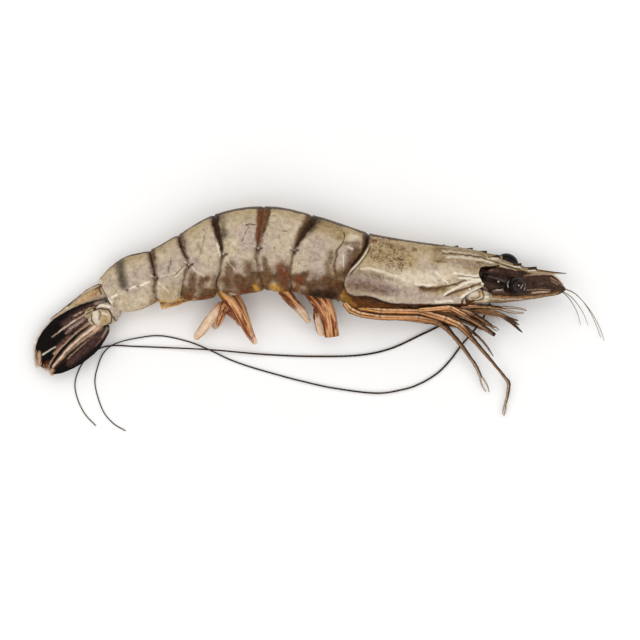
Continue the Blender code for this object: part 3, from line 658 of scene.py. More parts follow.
# The share of the height at which the dark of the back starts, partly painted shade along the outline.
BACK_LINE = 0.968
ABDOMEN_PAINT = (
    # a painted highlight: a white crescent behind the third joint
    ("cream", 0.9, 0.3, 0.3, (-38.9, 5.6, -38.1, 3.2, -37.5, 0.8), 0.2),
    # the neck in front of the first segment's ridge
    ("mauve", 0.8, 2.4, 2, (10.8, 4.6, 9.8, 0.4, 8.2, -4.6)),
    ("cream", 0.45, 1.1, 0.9, (9.4, 7.7, 11.8, 7.9)),
    ("mauve", 0.9, 0.9, 0.8, (8.2, 5.5, 12.8, 5.8)),
    # a painted glint
    ("cream", 0.6, 0.5, 0.4, (8.7, 3.9, 10.4, 3.4)),
    # painted shadow under the shield's rear rim
    ("umber", 1, 1.1, 0.9, (15.2, 10.2, 15.2, 6.2, 13.6, 2.2, 10.4, -2.2)),
    ("band", 1, 0.8, 0.6, (15.8, 10, 15.9, 5.6, 14, 1.6, 10.6, -2.6)),
    ("umber", 0.9, 2, 1.4, (12.4, 2.6, 10.4, -1.4, 7.4, -6.4)),
    ("olive_brown", 0.8, 1.4, 1.6, (2.6, 2, 1.4, -3, 2.4, -9)),
    ("band", 0.9, 0.24, 0.2, (7.6, 9.8, 7.3, 6.2)),
    ("umber", 0.9, 0.35, 0.7, (7.2, 6, 4.8, 2.8, 3.7, -3.4, 4.6, -7)),
    ("olive", 1, 4.6, 4, (-2, 13, 3, 11.6, 6, 9)),
    ("olive_brown", 0.4, 2.6, 2.6, (-1, 14, 5, 12.4)),
    # a painted highlight along a ridge
    ("cream", 0.7, 0.25, 0.2, (7.4, 1.4, 6.9, -3), 0.3),
    # undersides, from the first segment to the fifth
    ("umber", 1, 3, 2.6, (3.2, -11.6, -1.6, -13.4, -7, -12.6)),
    ("band", 1, 2.8, 2.2, (2.4, -13, -4.6, -13.4)),
    ("olive_brown", 0.95, 2.6, 2.6, (5.2, -5.8, 4.6, -9.4, 3.6, -12.6)),
    ("rust", 0.9, 1.8, 1.6, (-9, -7.8, -9.8, -11.2)),
    ("lilac", 1, 4.6, 4.2, (-2.4, 4, -3.4, -6.4)),
    ("rust", 0.85, 2.4, 2.2, (-15.2, -3, -13.6, -8.2)),
    ("umber", 0.85, 1.6, 1.8, (-12.8, -3.6, -13.4, -9.4)),
    ("lilac", 0.8, 1.6, 1.4, (-17.8, -2, -17, -6.6)),
    ("umber", 0.9, 1.2, 2, (-21.6, -0.6, -19.8, -9.5)),
    ("gold", 1, 1.5, 1.4, (-18, -10.2, -16, -12.2)),
    ("olive_brown", 1, 1.3, 1.2, (-13.6, -11.2, -10.6, -11.4)),
    ("umber", 0.9, 2.2, 2.6, (-27.2, -2.6, -26.4, -9.4)),
    ("gold", 0.9, 1, 1, (-25, -9.8, -24.2, -11)),
    ("umber", 0.9, 2, 2.6, (-33.8, -2.4, -35, -8.8)),
    ("mauve", 0.8, 2.2, 2.2, (-33.6, -10.2, -27.6, -10.4)),
    ("rust", 0.95, 0.55, 0.55, (-34.8, -11.8, -31, -12.5, -27.2, -11.6)),
    ("lilac", 0.9, 1.3, 0.9, (-31.4, 0.4, -30.6, -6.8)),
    ("umber", 0.95, 2, 2.6, (-47.8, -6.6, -48.4, -11.4)),
    ("umber", 0.8, 1.6, 2.2, (-39.8, -7, -40.2, -11.5)),
    ("umber", 0.6, 1.6, 1.6, (-46, -13, -42, -13.2)),
    ("rust", 0.95, 0.6, 0.6, (-49.8, -13.6, -45, -14.7, -40, -13.4)),
    ("olive", 0.8, 2.6, 2.2, (-55, -10, -57.6, -13.2)),
    ("gold", 0.95, 1.2, 1, (-60.4, -16.2, -56, -16.4, -52.6, -14.8)),
    # pigment spots and scratches
    ("band", 0.85, 0.34, 0.26, (-28.1, 11.9, -26.6, 12.3, -24.8, 12.2)),
    ("band", 0.6, 0.25, 0.3, (-27.4, 11.1, -28.4, 9, -29.6, 6.2)),
    ("band", 0.9, 0.4, 0.4, (-18.1, 3.7)),
    ("band", 0.7, 0.28, 0.25, (-14.9, 9.9, -13.6, 9.5)),
    ("umber", 0.45, 0.5, 0.4, (-43.2, 9.5, -43.9, 6, -45, 1.8)),
    ("smoke", 0.7, 0.4, 0.3, (-55.6, -0.6, -56.9, -4.8)),
    ("band", 0.7, 0.3, 0.3, (-3.2, 5.6)),
    ("band", 0.7, 0.26, 0.26, (-31, 3.2)),
    ("band", 0.6, 0.26, 0.26, (-41.4, 0.4)),
    ("rust", 0.7, 0.4, 0.4, (-43.6, 10.6)),
    ("rust", 0.6, 0.4, 0.4, (-58.4, 2.6)),
    # the last segment: a grey stripe, a dashed pale line with dark dots whose first dash is a painted glint,
    # and painted highlights along the pale rear edge and below it
    ("smoke", 1, 2.3, 1.8, (-75.4, -1.6, -74.6, -5.6, -73.8, -9.8)),
    ("cream", 1, 0.4, 0.3, (-78.4, -14.2, -76.2, -13), 0.25),
    ("cream", 1, 0.28, 0.28, (-71, -10.9, -69.4, -10.3)),
    ("cream", 1, 0.28, 0.3, (-67.4, -9.8, -64, -8.2)),
    ("band", 1, 0.42, 0.42, (-72.2, -11.3), -0.2),
    ("band", 1, 0.36, 0.36, (-68.4, -10.4), -0.2),
    ("cream", 1, 0.4, 0.45, (-80.6, -3.4, -82.6, -5.6, -83.6, -7.2, -82.6, -8.6)),
    ("cream", 1, 1.5, 1.2, (-81.8, -13.8, -79, -15.6)),
    ("lilac", 0.9, 0.8, 0.7, (-80.4, -15.6, -78, -17.2)),
    ("band", 0.8, 0.3, 0.3, (-82.2, -12, -79.6, -13.6, -77.6, -16.4)),
    # pale rays that run down from the hinges
    ("cream", 0.45, 0.3, 0.35, (-60.8, -8.4, -57, -12), -0.25),
    ("cream", 0.45, 0.3, 0.3, (-60.2, -7, -54.4, -5.2), -0.18),
    ("umber", 0.7, 0.22, 0.22, (-51, -2.9, -54.6, -6.4)),
    ("cream", 0.5, 0.2, 0.25, (-50.6, -3.4, -54.4, -6.9), -0.25),
    ("cream", 0.4, 0.3, 0.35, (-48, -3.2, -43.6, -6.6), -0.2),
    ("cream", 0.4, 0.3, 0.3, (-35.4, 0.2, -32.6, -4.2)),
    (None, 0, 0.5, 0.5, (7.2, 9.6, 7, 4.2, 4.3, 1.4, 3.4, -3.2), -0.35),
    (None, 0, 1.6, 1.6, (9, 7, 12.4, 6), -0.45),
    (None, 0, 0.3, 0.3, (-71.2, -11, -63.4, -8.1), 0.14),
    (None, 0, 0.6, 0.6, (-36, 0.6, -31.5, -4, -29.6, -9), -0.3),
    (None, 0, 0.6, 0.6, (-24.6, 2.4, -27.6, -2.6), -0.25),
    (None, 0, 0.6, 0.6, (-23, 2.2, -19.6, -2.8), -0.25),
    (None, 0, 0.5, 0.5, (-10, 1.4, -7.2, -5.2), -0.25),
)


def rib_point(ribs, place, height):
    """The point in the plan at a share of the height from belly to back, at a place among the ribs."""
    rib = spline(ribs, place)
    share = np.asarray(height)[..., None]
    return rib[..., 2:4] + (rib[..., 0:2] - rib[..., 2:4]) * share


def rib_span(ribs, place, height):
    """How many millimetres one step from rib to rib is, at a share of the height."""
    step = rib_point(ribs, place + 0.4, height) - rib_point(ribs, place - 0.4, height)
    return np.linalg.norm(step, axis=-1) / 0.8


def joint_place(joint, height):
    """Where a joint's visible edge lies among the body's ribs: its own rib, moved by the joint's bow."""
    rib = JOINT_RIBS[joint]
    bow = eased(height, np.stack([BOW_HEIGHTS, JOINT_BOWS[joint]], axis=1), 0.05)
    return rib - bow / rib_span(BODY_RIBS, np.full(np.shape(height), float(rib)), height)


def body_skin(ribs, place, upward, outwards):
    """Points on the body. Upward runs from -1 at the belly to 1 at the back, outwards from -1 on the left
    flank to 1 on the right one, as shares of half the height and half the width there."""
    rib = spline(ribs, place)
    flat = rib_point(ribs, place, (1 + upward) / 2)
    return np.concatenate([flat, (rib[..., 5] + rib[..., 4] * outwards)[..., None]], axis=-1)


def body_section(turn, recess):
    """The body's cross section as (upward, outwards) shares, for angles from the right flank over the back:
    an ellipse above, and below it sides that hang nearly straight, end in flaps, and have the belly raised
    between them."""
    up, across = np.sin(turn), np.cos(turn)
    below = up < 0
    outwards = powered(across, np.where(below, FLANK_POWER, 1.0))
    middle = smooth(0.62 - np.abs(outwards), 0.0, 0.3)
    return np.where(below, 1.1 * up + recess * middle, up), outwards


def segment_profile(length):
    """The rings of a segment of a length: how far each is behind its front seam, how far it is drawn in,
    and how far it closes towards the middle. They start tucked under the segment before, cross the shown
    length, roll in over a lip, and go back into a hollow."""
    roll = np.linspace(0, math.pi, 8)[1:, None]
    depth = np.linspace(0, 1, 5)[1:, None]
    tucked = np.linspace(-TUCK, 0, TUCK_RINGS + 1)[:-1, None] + 0 * length
    shown = np.linspace(0, 1, SEGMENT_RINGS)[:, None] * length
    behind = [tucked, shown, length + 0.7 * LIP * np.sin(roll), length - HOLLOW * depth]
    flat = np.zeros((len(tucked) + len(shown), 1))
    inset = [flat, LIP * (1 - np.cos(roll)), 2 * LIP + 0.4 * depth]
    return np.concatenate(behind), np.concatenate(inset), np.concatenate([flat, 0 * roll, depth])


def segment_rise(number, behind, length, height, x, y):
    """A segment's relief in millimetres: it swells over its length, steps down to its front seam, and has
    a rim before its rear edge, uneven skin, a ringed knob at each hinge, and what the strokes draw. All
    but the swelling and the step fade over the back."""
    flank = 1 - 0.85 * smooth(height, 0.9, 0.99)
    swell = 0.28 * np.sin(math.pi * np.clip(behind / length, 0, 1)) ** 0.7
    step = -0.5 * (1 - smooth(behind, 0.0, 2.0)) - 0.3 * (behind < 0)
    edge = 0.22 * hump(length - behind, 0.8) - 0.2 * hump(length - behind - 1.9, 0.9)
    rough = 0.11 * clouds(x, y, 3.4, number) + 0.06 * clouds(x, y, 1.3, 10 + number)
    knobs = sum(
        0.3 * hump(np.hypot(x - a, y - b), 0.45) - 0.3 * hump(np.hypot((x - a) / 1.6, y - b) - 0.8, 0.3)
        for a, b in HINGES
    )
    drawn = relief(x, y, ABDOMEN_PAINT)
    return swell * (0.4 + 0.6 * flank) + step + (edge + rough + knobs + drawn) * flank


def segment_masks(number, behind, length, inset, height, outwards, x, y, z):
    """A segment's masks: the strokes, the tones of the joint at each end, brown along the lower edge, the
    dark back with painted shade along its outline, the rolled lip painted dark as painted shade in the
    groove, painted shade at both rims, the hinges' marks with their painted glints, olive above, lilac
    clouds on the flank, fine veins, and an amber belly."""
    masks = paint(x, y, ABDOMEN_PAINT)
    if number < SEGMENTS:
        joint_tones(masks, number, length - behind, 1, height, x, y)
    if number > 1:
        joint_tones(masks, number - 1, behind, 0, height, x, y)
    for a, b in HINGES:
        masks = paint(x - a, y - b, HINGE_MARKS, masks)
    back_tones(masks, height, x, z)
    low_tone = LOW_TONES[number - 1] * smooth(0.4 - height, 0.0, 0.24)
    rim_shade = 0.5 * hump(behind - 0.4, 1.1) + 0.3 * hump(length - behind - 0.1, 0.4)
    belly = smooth(0.62 - np.abs(outwards), 0.0, 0.12) * (height < 0.3)
    lay(masks, "umber", smooth(low_tone + 0.4 * clouds(x, y, 2.6, 36) - 0.3, 0, 0.6))
    lay(masks, "umber", rim_shade * (0.6 + 0.6 * clouds(x, y, 2.2, 35)))
    # The rolled lip and the hollow behind it are painted dark: painted shade in the groove under the next
    # segment.
    lay(masks, "band", 0.9 * np.clip(inset / 0.5, 0, 1))
    lay(masks, "olive", 0.8 * smooth(height + 0.04 * clouds(x, y, 4.0, 31), 0.78, 0.97))
    lay(masks, "smoke", fine_veins(x, y, 34))
    lay(masks, "lilac", smooth(hump(height - 0.5, 0.32) * (0.6 + 0.6 * clouds(x, y, 5.0, 32)), 0.15, 0.9))
    lay(masks, "gold", 0.8 * belly)
    lay(masks, "rust", 0.5 * belly * (0.6 + 0.5 * clouds(x, y, 2.0, 33)))
    return masks


def make_abdomen():
    """Six plugs that overlap like roof tiles. Each starts lower, under the one before, swells over its
    length, and ends in a lip that rolls in and closes in a hollow. Its lower corners are rounded flaps."""
    turn = turns(SEGMENT_SIDES)[None, :]
    for number in range(1, SEGMENTS + 1):
        upward, outwards = body_section(turn, RECESS if number < SEGMENTS else LAST_RECESS)
        height = (1 + upward) / 2
        front, rear = joint_place(number - 1, height), joint_place(number, height)
        span = rib_span(BODY_RIBS, (front + rear) / 2, height)
        length = (rear - front) * span
        behind, inset, closing = segment_profile(length)
        share = np.clip(behind / length, 0, 1)
        notch = np.where(share < 0.5, JOINT_NOTCHES[number - 1], JOINT_NOTCHES[number])
        corner = smooth(0.3 - height, 0, 0.28) * np.abs(2 * share - 1) ** 5 * notch
        place = front + behind / span
        grid = body_skin(BODY_RIBS, place, upward + corner, outwards + 0 * place)
        x, y, z = np.moveaxis(grid, -1, 0)
        masks = segment_masks(number, behind, length, inset, height, outwards, x, y, z)
        grid = raised(grid, segment_rise(number, behind, length, height, x, y) - inset)
        grid = grid + (grid.mean(axis=1, keepdims=True) - grid) * 0.8 * closing[..., None]
        make_piece(f"abdomen_{number}_skin", [skin(rested(grid), masks)], [SHELL])


def back_tones(masks, height, x, z):
    """Adds a dark line along the top of each flank, partly the back's own dark and partly painted shade
    along the outline. Over the back between them the dark breaks up into mottles on olive-brown skin,
    with an uneven edge."""
    uneven = clouds(x, z, 2.2, 47)
    edge = smooth(height + 0.006 * uneven, BACK_LINE - 0.01, BACK_LINE)
    middle = smooth(height + 0.008 * uneven, BACK_LINE + 0.006, BACK_LINE + 0.02)
    lay(masks, "band", edge * (0.95 - middle * (0.45 - 0.4 * clouds(x, z, 3.6, 48))))
    lay(masks, "olive_brown", 0.9 * middle)


def joint_tones(masks, joint, gap, side, height, x, y):
    """Adds the colours on one side of a joint, for how far skin is from its seam: side 0 is behind the
    seam and 1 before it. A band narrows from the back to the hinge, and below the hinge only a thin line
    is left. The smoky patch is a bell curve further out, in the upper part only."""
    tone, wide = JOINT_TONES[joint - 1][2 * side : 2 * side + 2]
    smoky = JOINT_TONES[joint - 1][4]
    low, high = (rib_point(BODY_RIBS, float(JOINT_RIBS[joint]), np.array(end))[1] for end in (0.0, 1.0))
    hinge = (HINGES[joint - 1][1] - low) / (high - low)
    share = np.clip((height - hinge) / (0.95 - hinge), 0, 1)
    width = wide * share**0.75 + 0.3 + 0.3 * clouds(x, y, 1.6, 37)
    lay(masks, tone, smooth(width - gap, -0.2, 0.25) * (0.4 + 0.6 * smooth(share, 0, 0.12)))
    lay(masks, "umber", 0.7 * smooth(width + 0.5 - gap, -0.5, 0.5))
    if side:
        patch = hump((gap - wide * share - 0.45 * smoky) / smoky, 0.6) * smooth(share, 0.25, 0.5)
        lay(masks, "smoke", patch * (0.85 + 0.5 * clouds(x, y, 1.8, 38)))


def fine_veins(x, y, seed):
    """A mask of fine wavering lines in patches, where smooth random values cross zero."""
    wave = clouds(x, y, 1.5, seed) + 0.5 * clouds(x, y, 0.6, seed + 1)
    return 0.6 * hump(wave, 0.07) * smooth(clouds(x, y, 4.5, seed + 2), -0.1, 0.5)


def ring_line(x, y, radius, points=13):
    """A circle in the plan, as a line for a stroke."""
    turn = np.linspace(0, 2 * math.pi, points)
    return np.stack([x + radius * np.cos(turn), y + radius * np.sin(turn)], axis=-1)


# ---- head shield
CARAPACE_RINGS = 272
CARAPACE_SIDES = 250
CARAPACE_FLOOR = 18
CARAPACE_LIP = 0.32
CARAPACE_HOLLOW = 7.0
# The narrow pale strokes, most of them along ridges, are painted highlights; the broad ones are pale skin.
CARAPACE_PAINT = (
    ("olive", 0.85, 6, 4.5, (17, 1.5, 24, 1.5, 31, 0)),
    ("olive_brown", 0.15, 3.6, 3, (21, 3, 28, -0.4)),
    ("olive", 0.8, 2.6, 2.2, (20, 6.8, 32, 4.6, 42, 3.2)),
    ("rust", 0.9, 0.9, 0.7, (17.9, 6.5, 19, 6.4)),
    ("umber", 0.7, 0.8, 0.6, (24.2, 4.9, 25.4, 4.4)),
    ("rust", 0.6, 0.7, 0.5, (28.4, 4, 29.5, 3.8)),
    ("umber", 0.7, 0.7, 0.6, (32.6, 3.4, 33.6, 3.3)),
    ("band", 0.9, 0.4, 0.3, (26.8, 0.2, 28.9, -0.8)),
    ("lilac", 1, 3.4, 2.8, (11, -7.6, 20, -9.8, 29, -12.4, 37, -14.2)),
    ("mauve", 0.7, 2.4, 1.6, (9.6, -8.4, 18, -9.8, 26, -12)),
    ("umber", 0.6, 2.4, 1.4, (9.4, -10.8, 16, -11, 22, -12.6)),
    ("olive_brown", 0.5, 1.6, 1.2, (8.6, -4.8, 14, -5.4, 21, -7.6)),
    ("lilac", 0.9, 1.8, 1.4, (38, -14.4, 49, -14.6)),
    ("olive", 1, 1.4, 1.3, (30, -12.2, 38, -12.6, 46, -12.2)),
    ("cream", 0.65, 0.3, 0.35, (13.3, -3.8, 16, -3.5, 21.9, -5.3)),
    ("cream", 0.6, 0.35, 0.4, (23, -5.7, 24.6, -6.1, 29, -7.2)),
    ("smoke", 0.6, 0.9, 0.5, (17.6, -5.4, 21, -6.6, 25, -7.8)),
    ("cream", 0.4, 2.2, 2.6, (29.5, -6.8, 36, -7.4, 42, -6.8)),
    ("cream", 0.25, 2.2, 2.2, (44, -3.4, 50, -4.2)),
    ("lilac", 0.8, 1.6, 1.6, (36, -2.6, 41, -3.6), -0.3),
    ("cream", 0.9, 0.4, 0.4, (33.5, -9.2, 37, -9.9, 40.5, -9.6)),
    ("olive_brown", 0.9, 0.9, 0.7, (35.5, -11.2, 40.5, -11.6, 44.5, -10.9)),
    ("umber", 1, 0.55, 0.4, (35, -10.8, 40.5, -11.1, 44.5, -10.3, 48, -9.5, 51.8, -8.2)),
    ("cream", 0.9, 0.35, 0.35, (40.6, -4.8, 43.3, -7.3, 45.3, -9.2), -0.3),
    ("smoke", 0.6, 0.5, 0.5, (39.6, -5.6, 42.2, -8.2)),
    ("cream", 1, 0.5, 0.4, (43.9, -13, 47.4, -11.2, 50.6, -9.5, 52.6, -8.6, 57.4, -8.2), 0.5),
    ("umber", 1, 0.5, 0.5, (44.6, -13.6, 49.1, -12, 53.7, -10.5, 57.6, -9.4), -0.5),
    ("olive", 0.9, 0.9, 0.8, (46.6, -14.2, 51, -12.6)),
    ("cream", 1, 0.45, 0.35, (50.2, -14.2, 52.7, -12.3, 55.8, -11.2, 59.4, -10.2), 0.55),
    ("band", 0.8, 0.4, 0.4, (50.9, -15.8, 51.6, -14.2, 54, -12.5, 58.6, -11.1)),
    ("umber", 1, 0.4, 0.35, (43.6, 1.9, 50, 1.4, 56, 0.8, 61, 0, 66, -1.4)),
    ("olive_brown", 0.6, 0.9, 0.8, (41, 3.4, 50, 2.6, 58, 1.6, 66, 0)),
    ("cream", 0.6, 0.3, 0.25, (43.5, 2.9, 50, 2.4, 57, 1.7, 62, 0.8), -0.8),
    ("olive", 0.8, 2.6, 2.4, (40, -1, 48, -2, 56, -2.6)),
    ("umber", 0.35, 3, 2.4, (42, 1.4, 50, -0.8, 56, -3)),
    ("olive", 1, 0.9, 0.7, (40, 4.6, 50, 3.6, 60, 1.6, 66, 0.2)),
    ("smoke", 0.9, 0.3, 0.3, (38, 5.6, 48, 4.4, 60, 2.4, 66, 0.6)),
    ("cream", 0.5, 0.4, 0.4, (44.6, 0.5, 51, 0.2, 58.6, -0.6, 64, -1.6)),
    ("olive_brown", 0.7, 0.5, 0.4, (56, -1.3, 62, -2.2, 67, -3)),
    ("lilac", 0.7, 0.9, 0.8, (46, -1.2, 56.4, -2.4)),
    ("band", 0.8, 0.35, 0.35, (40.6, -1, 42.4, -1.2)),
    ("umber", 0.9, 0.35, 0.35, (43.2, -1.4, 44.6, -1.3)),
    ("umber", 0.8, 0.35, 0.3, (50.6, -3.3, 53.4, -3.6)),
    ("umber", 0.5, 0.3, 0.3, (46.8, -2.6, 48.8, -2.8)),
    ("cream", 1, 0.4, 0.4, (47.4, -5.4, 52, -6.1, 57.2, -6.3), -0.35),
    ("cream", 1, 0.4, 0.4, (49.6, -7.2, 54, -7.4, 57.6, -7.6), 0.25),
    ("smoke", 0.9, 0.35, 0.35, (49, -6.4, 53.4, -6.8, 57.2, -7), 0.25),
    ("lilac", 0.8, 0.6, 0.5, (48, -8.2, 54, -8)),
    ("cream", 1, 0.45, 0.45, (57.3, -4.4, 57.7, -7, 58.2, -9.4)),
    ("cream", 0.8, 0.5, 0.5, (41, -15.8, 47, -15.7), 0.15),
    (None, 0, 0.9, 0.9, (12.8, -3.8, 16, -3.5, 21.9, -5.3, 24.6, -6.1, 29, -7.2), 0.35),
    (None, 0, 1, 1, (12, -5.6, 21, -7.4, 28, -9.2), -0.25),
    (None, 0, 0.7, 0.7, (32, -9, 37, -10, 41, -9.6), 0.3),
    (None, 0, 0.7, 0.7, (33, -10.7, 39.1, -11.1, 43.7, -10.3, 47.4, -9.6, 51.8, -8.2), -0.6),
    (None, 0, 0.4, 0.4, (40.8, -4.8, 43.5, -7.3, 45.4, -9.2), 0.25),
    (None, 0, 0.5, 0.5, (51.2, -15.6, 51.8, -14.2, 54, -12.6), -0.35),
    (None, 0, 0.6, 0.6, (43.5, 3.2, 50, 2.8, 57, 2.1), 0.3),
    (None, 0, 0.7, 0.7, (44.6, 0.4, 51, 0.1, 58.6, -0.8), 0.35),
    (None, 0, 0.6, 0.6, (46, -2.4, 51, -3.2, 56, -3.4), -0.25),
)


def carapace_spread():
    """Where the shield's points lie: their places among the head's ribs, their angles from the lower
    margin of one flank over the back to the other, the angle of that margin, and the places of the rear
    and the front margin. The place and the angle depend on each other, so they are worked out by turns."""
    reach = np.linspace(0, 1, CARAPACE_RINGS)[:, None]
    share = np.linspace(0, 1, CARAPACE_SIDES)[None, :]
    place = 3.0 * reach + 0 * share
    for _ in range(6):
        start = np.arcsin(np.clip(2 * eased(place, CARAPACE_MARGIN, 0.12) - 1, -1, 1))
        turn = start + share * (math.pi - 2 * start)
        height = (1 + np.sin(turn)) / 2
        front = eased(height, CARAPACE_FRONT, 0.03)
        rear = eased(height, np.stack([BOW_HEIGHTS, JOINT_BOWS[0]], axis=1), 0.05) / 8.0 + 0.03
        place = rear + (front - rear) * reach
    return place, turn, start, rear, front


def carapace_masks(x, y, z, place, height, from_rear, from_margin):
    """The shield's masks: the strokes, a patch of scribbled lines, the dark back, painted shadow at the top
    of its rear rim, fine veins, and the lines along its rear rim and its lower margin, with a painted
    highlight along the rolled rim."""
    masks = paint(x, y, CARAPACE_PAINT)
    patch = stroke(x, y, 5.4, 4.4, (20.6, 3.8, 24.4, 1.6, 28.2, -0.8))
    scribble = hump(clouds(x, y, 0.95, 43) + 0.4 * clouds(x, y, 0.45, 44), 0.24)
    shown_rim = smooth(height, 0.34, 0.42) * smooth(-height, -0.84, -0.76)
    back_tones(masks, height - 0.06 * smooth(place, 2.9, 3.6), x, z)
    lay(masks, "umber", 0.85 * scribble * smooth(patch, 0.3, 0.5))
    # painted shadow at the top of the rear rim
    lay(masks, "umber", 0.8 * hump(from_rear - 0.2, 0.8) * smooth(height, 0.7, 0.85))
    lay(masks, "smoke", fine_veins(x, y, 46))
    masks["smoke"] = masks["smoke"] * (0.8 + 0.2 * clouds(x, y, 1.0, 45))
    # a painted highlight along the rolled rear rim
    lay(masks, "cream", 0.6 * hump(from_rear - 0.75, 0.25) * shown_rim)
    lay(masks, "lilac", 0.8 * hump(from_margin - 0.5, 0.5))
    lay(masks, "band", 0.95 * hump(from_rear, 0.45) + 0.85 * hump(from_rear - 1.45, 0.28) * shown_rim)
    lay(masks, "band", 0.95 * hump(from_margin, 0.3))
    return masks


def carapace_rise(x, y, height, from_rear, from_front, from_margin):
    """The shield's relief in millimetres: what the strokes draw, a rolled rear rim with a groove before it,
    a lip along its lower margin and round the orbit, and uneven skin. All fade over the back."""
    rim = 0.1 + 0.18 * hump(height - 0.42, 0.2)
    rim = rim * (hump(from_rear - 0.6, 0.5) - 0.8 * hump(from_rear - 1.7, 0.6))
    lip = 0.12 * hump(from_margin - 0.35, 0.4) - 0.1 * hump(from_margin - 1.4, 0.7)
    orbit = 0.3 * hump(from_front - 0.3, 0.5) - 0.15 * hump(from_front - 1.3, 0.6)
    rough = 0.1 * clouds(x, y, 4.2, 41) + 0.06 * clouds(x, y, 1.6, 42)
    flank = 1 - 0.8 * smooth(height, 0.93, 0.995)
    return (relief(x, y, CARAPACE_PAINT) + rim + lip + orbit + rough) * flank


def lined(outer):
    """The shield's sheet made a closed tube: its front edge rolls in and goes back to a hollow, and an
    arched floor joins its two lower margins."""
    upright = np.array((0.0, 1.0, 1.0))
    roll = np.linspace(0, math.pi, 7)[1:, None, None]
    inward = unit(outer[-1].mean(axis=0) * upright - outer[-1] * upright)[None]
    lips = outer[-1:] + inward * CARAPACE_LIP * (1 - np.cos(roll)) + np.array((0.25, 0, 0)) * np.sin(roll)
    deep = np.linspace(0, 1, 9)[1:, None, None]
    hollow = lips[-1:] + inward * 0.7 * deep + np.array((-CARAPACE_HOLLOW, 0, 0)) * deep
    tail = hollow[-1:] + (hollow[-1].mean(axis=0) - hollow[-1:]) * np.array((0.4, 0.8))[:, None, None]
    sheet = np.concatenate([outer, lips, hollow, tail])
    across = np.linspace(0, 1, CARAPACE_FLOOR + 2)[None, 1:-1, None]
    arch = 4 * across * (1 - across) * np.array((0, 1.6, 0))
    floor = sheet[:, -1:] + (sheet[:, :1] - sheet[:, -1:]) * across + arch
    return np.concatenate([sheet, floor], axis=1)


def make_carapace():
    """The shield is a hollow cone over the head's ribs, from its rear rim to its front margin, and from the
    lower margin of one flank over the back to the other. It narrows to the rostrum's root."""
    place, turn, start, rear, front = carapace_spread()
    height = (1 + np.sin(turn)) / 2
    outwards = powered(np.cos(turn), np.where((turn < 0) | (turn > math.pi), FLANK_POWER, 1.0))
    outwards = outwards * (1 - 0.72 * smooth(place, 3.6, 5.9) * smooth(height, 0.66, 0.8))
    rib_step = np.subtract(HEAD_RIBS[1], HEAD_RIBS[0])[[0, 1, 5]]
    before = 0.75 * np.minimum(place, 0)[..., None] * rib_step
    grid = body_skin(HEAD_RIBS, place, 2 * height - 1, outwards) + before
    x, y, z = np.moveaxis(grid, -1, 0)
    span = rib_span(HEAD_RIBS, np.clip(place, 0.5, 5.5), height)
    from_rear, from_front = (place - rear) * span, (front - place) * span
    tall = np.linalg.norm(rib_point(HEAD_RIBS, place, 1.0) - rib_point(HEAD_RIBS, place, 0.0), axis=-1)
    from_margin = (height - (1 + np.sin(start)) / 2) * tall
    outer = raised_sheet(grid, carapace_rise(x, y, height, from_rear, from_front, from_margin))
    grid = rested(lined(outer))
    masks = carapace_masks(x, y, z, place, height, from_rear, from_margin)
    for name, mask in masks.items():
        hidden = np.pad(mask, ((0, len(grid) - CARAPACE_RINGS), (0, 0)), mode="edge")
        masks[name] = np.pad(hidden, ((0, 0), (0, CARAPACE_FLOOR)))
    # The hidden floor and the rolled-in front edge are painted dark, as painted shade under the shield.
    masks["band"][:, CARAPACE_SIDES:] = 0.9
    masks["band"][CARAPACE_RINGS:] = 0.9
    make_piece("carapace_skin", [skin(grid, masks), make_rostrum()], [SHELL])


def raised_sheet(grid, height):
    """An open sheet over the back moved along its own outward normal by heights."""
    normal = unit(np.cross(np.gradient(grid, axis=1), np.gradient(grid, axis=0)))
    facing = np.sign(normal[:, grid.shape[1] // 2, 1].mean())
    return grid + normal * (height * facing)[..., None]


ROSTRUM_PAINT = (
    ("olive_brown", 0.8, 0.5, 0.3, (54, 2.4, 62, 0.6, 68, -1.7, 75, -3.9)),
    ("umber", 0.95, 0.28, 0.25, (48, 0.9, 57, 0.6, 62, -0.7, 68, -2.7, 75, -4.9)),
    ("cream", 0.7, 0.28, 0.2, (56, -0.6, 62, -1.8, 68, -3.4, 74, -5.2)),
    ("cream", 0.5, 0.25, 0.2, (54, 1.4, 62, 0, 70, -2.6)),
    ("gold", 0.6, 0.7, 0.3, (60, -2, 68, -3.9, 76, -5.6)),
    ("band", 0.9, 0.3, 0.25, (57, -2.5, 62.5, -3.1, 66, -3.7, 74, -6, 79, -6.2)),
)


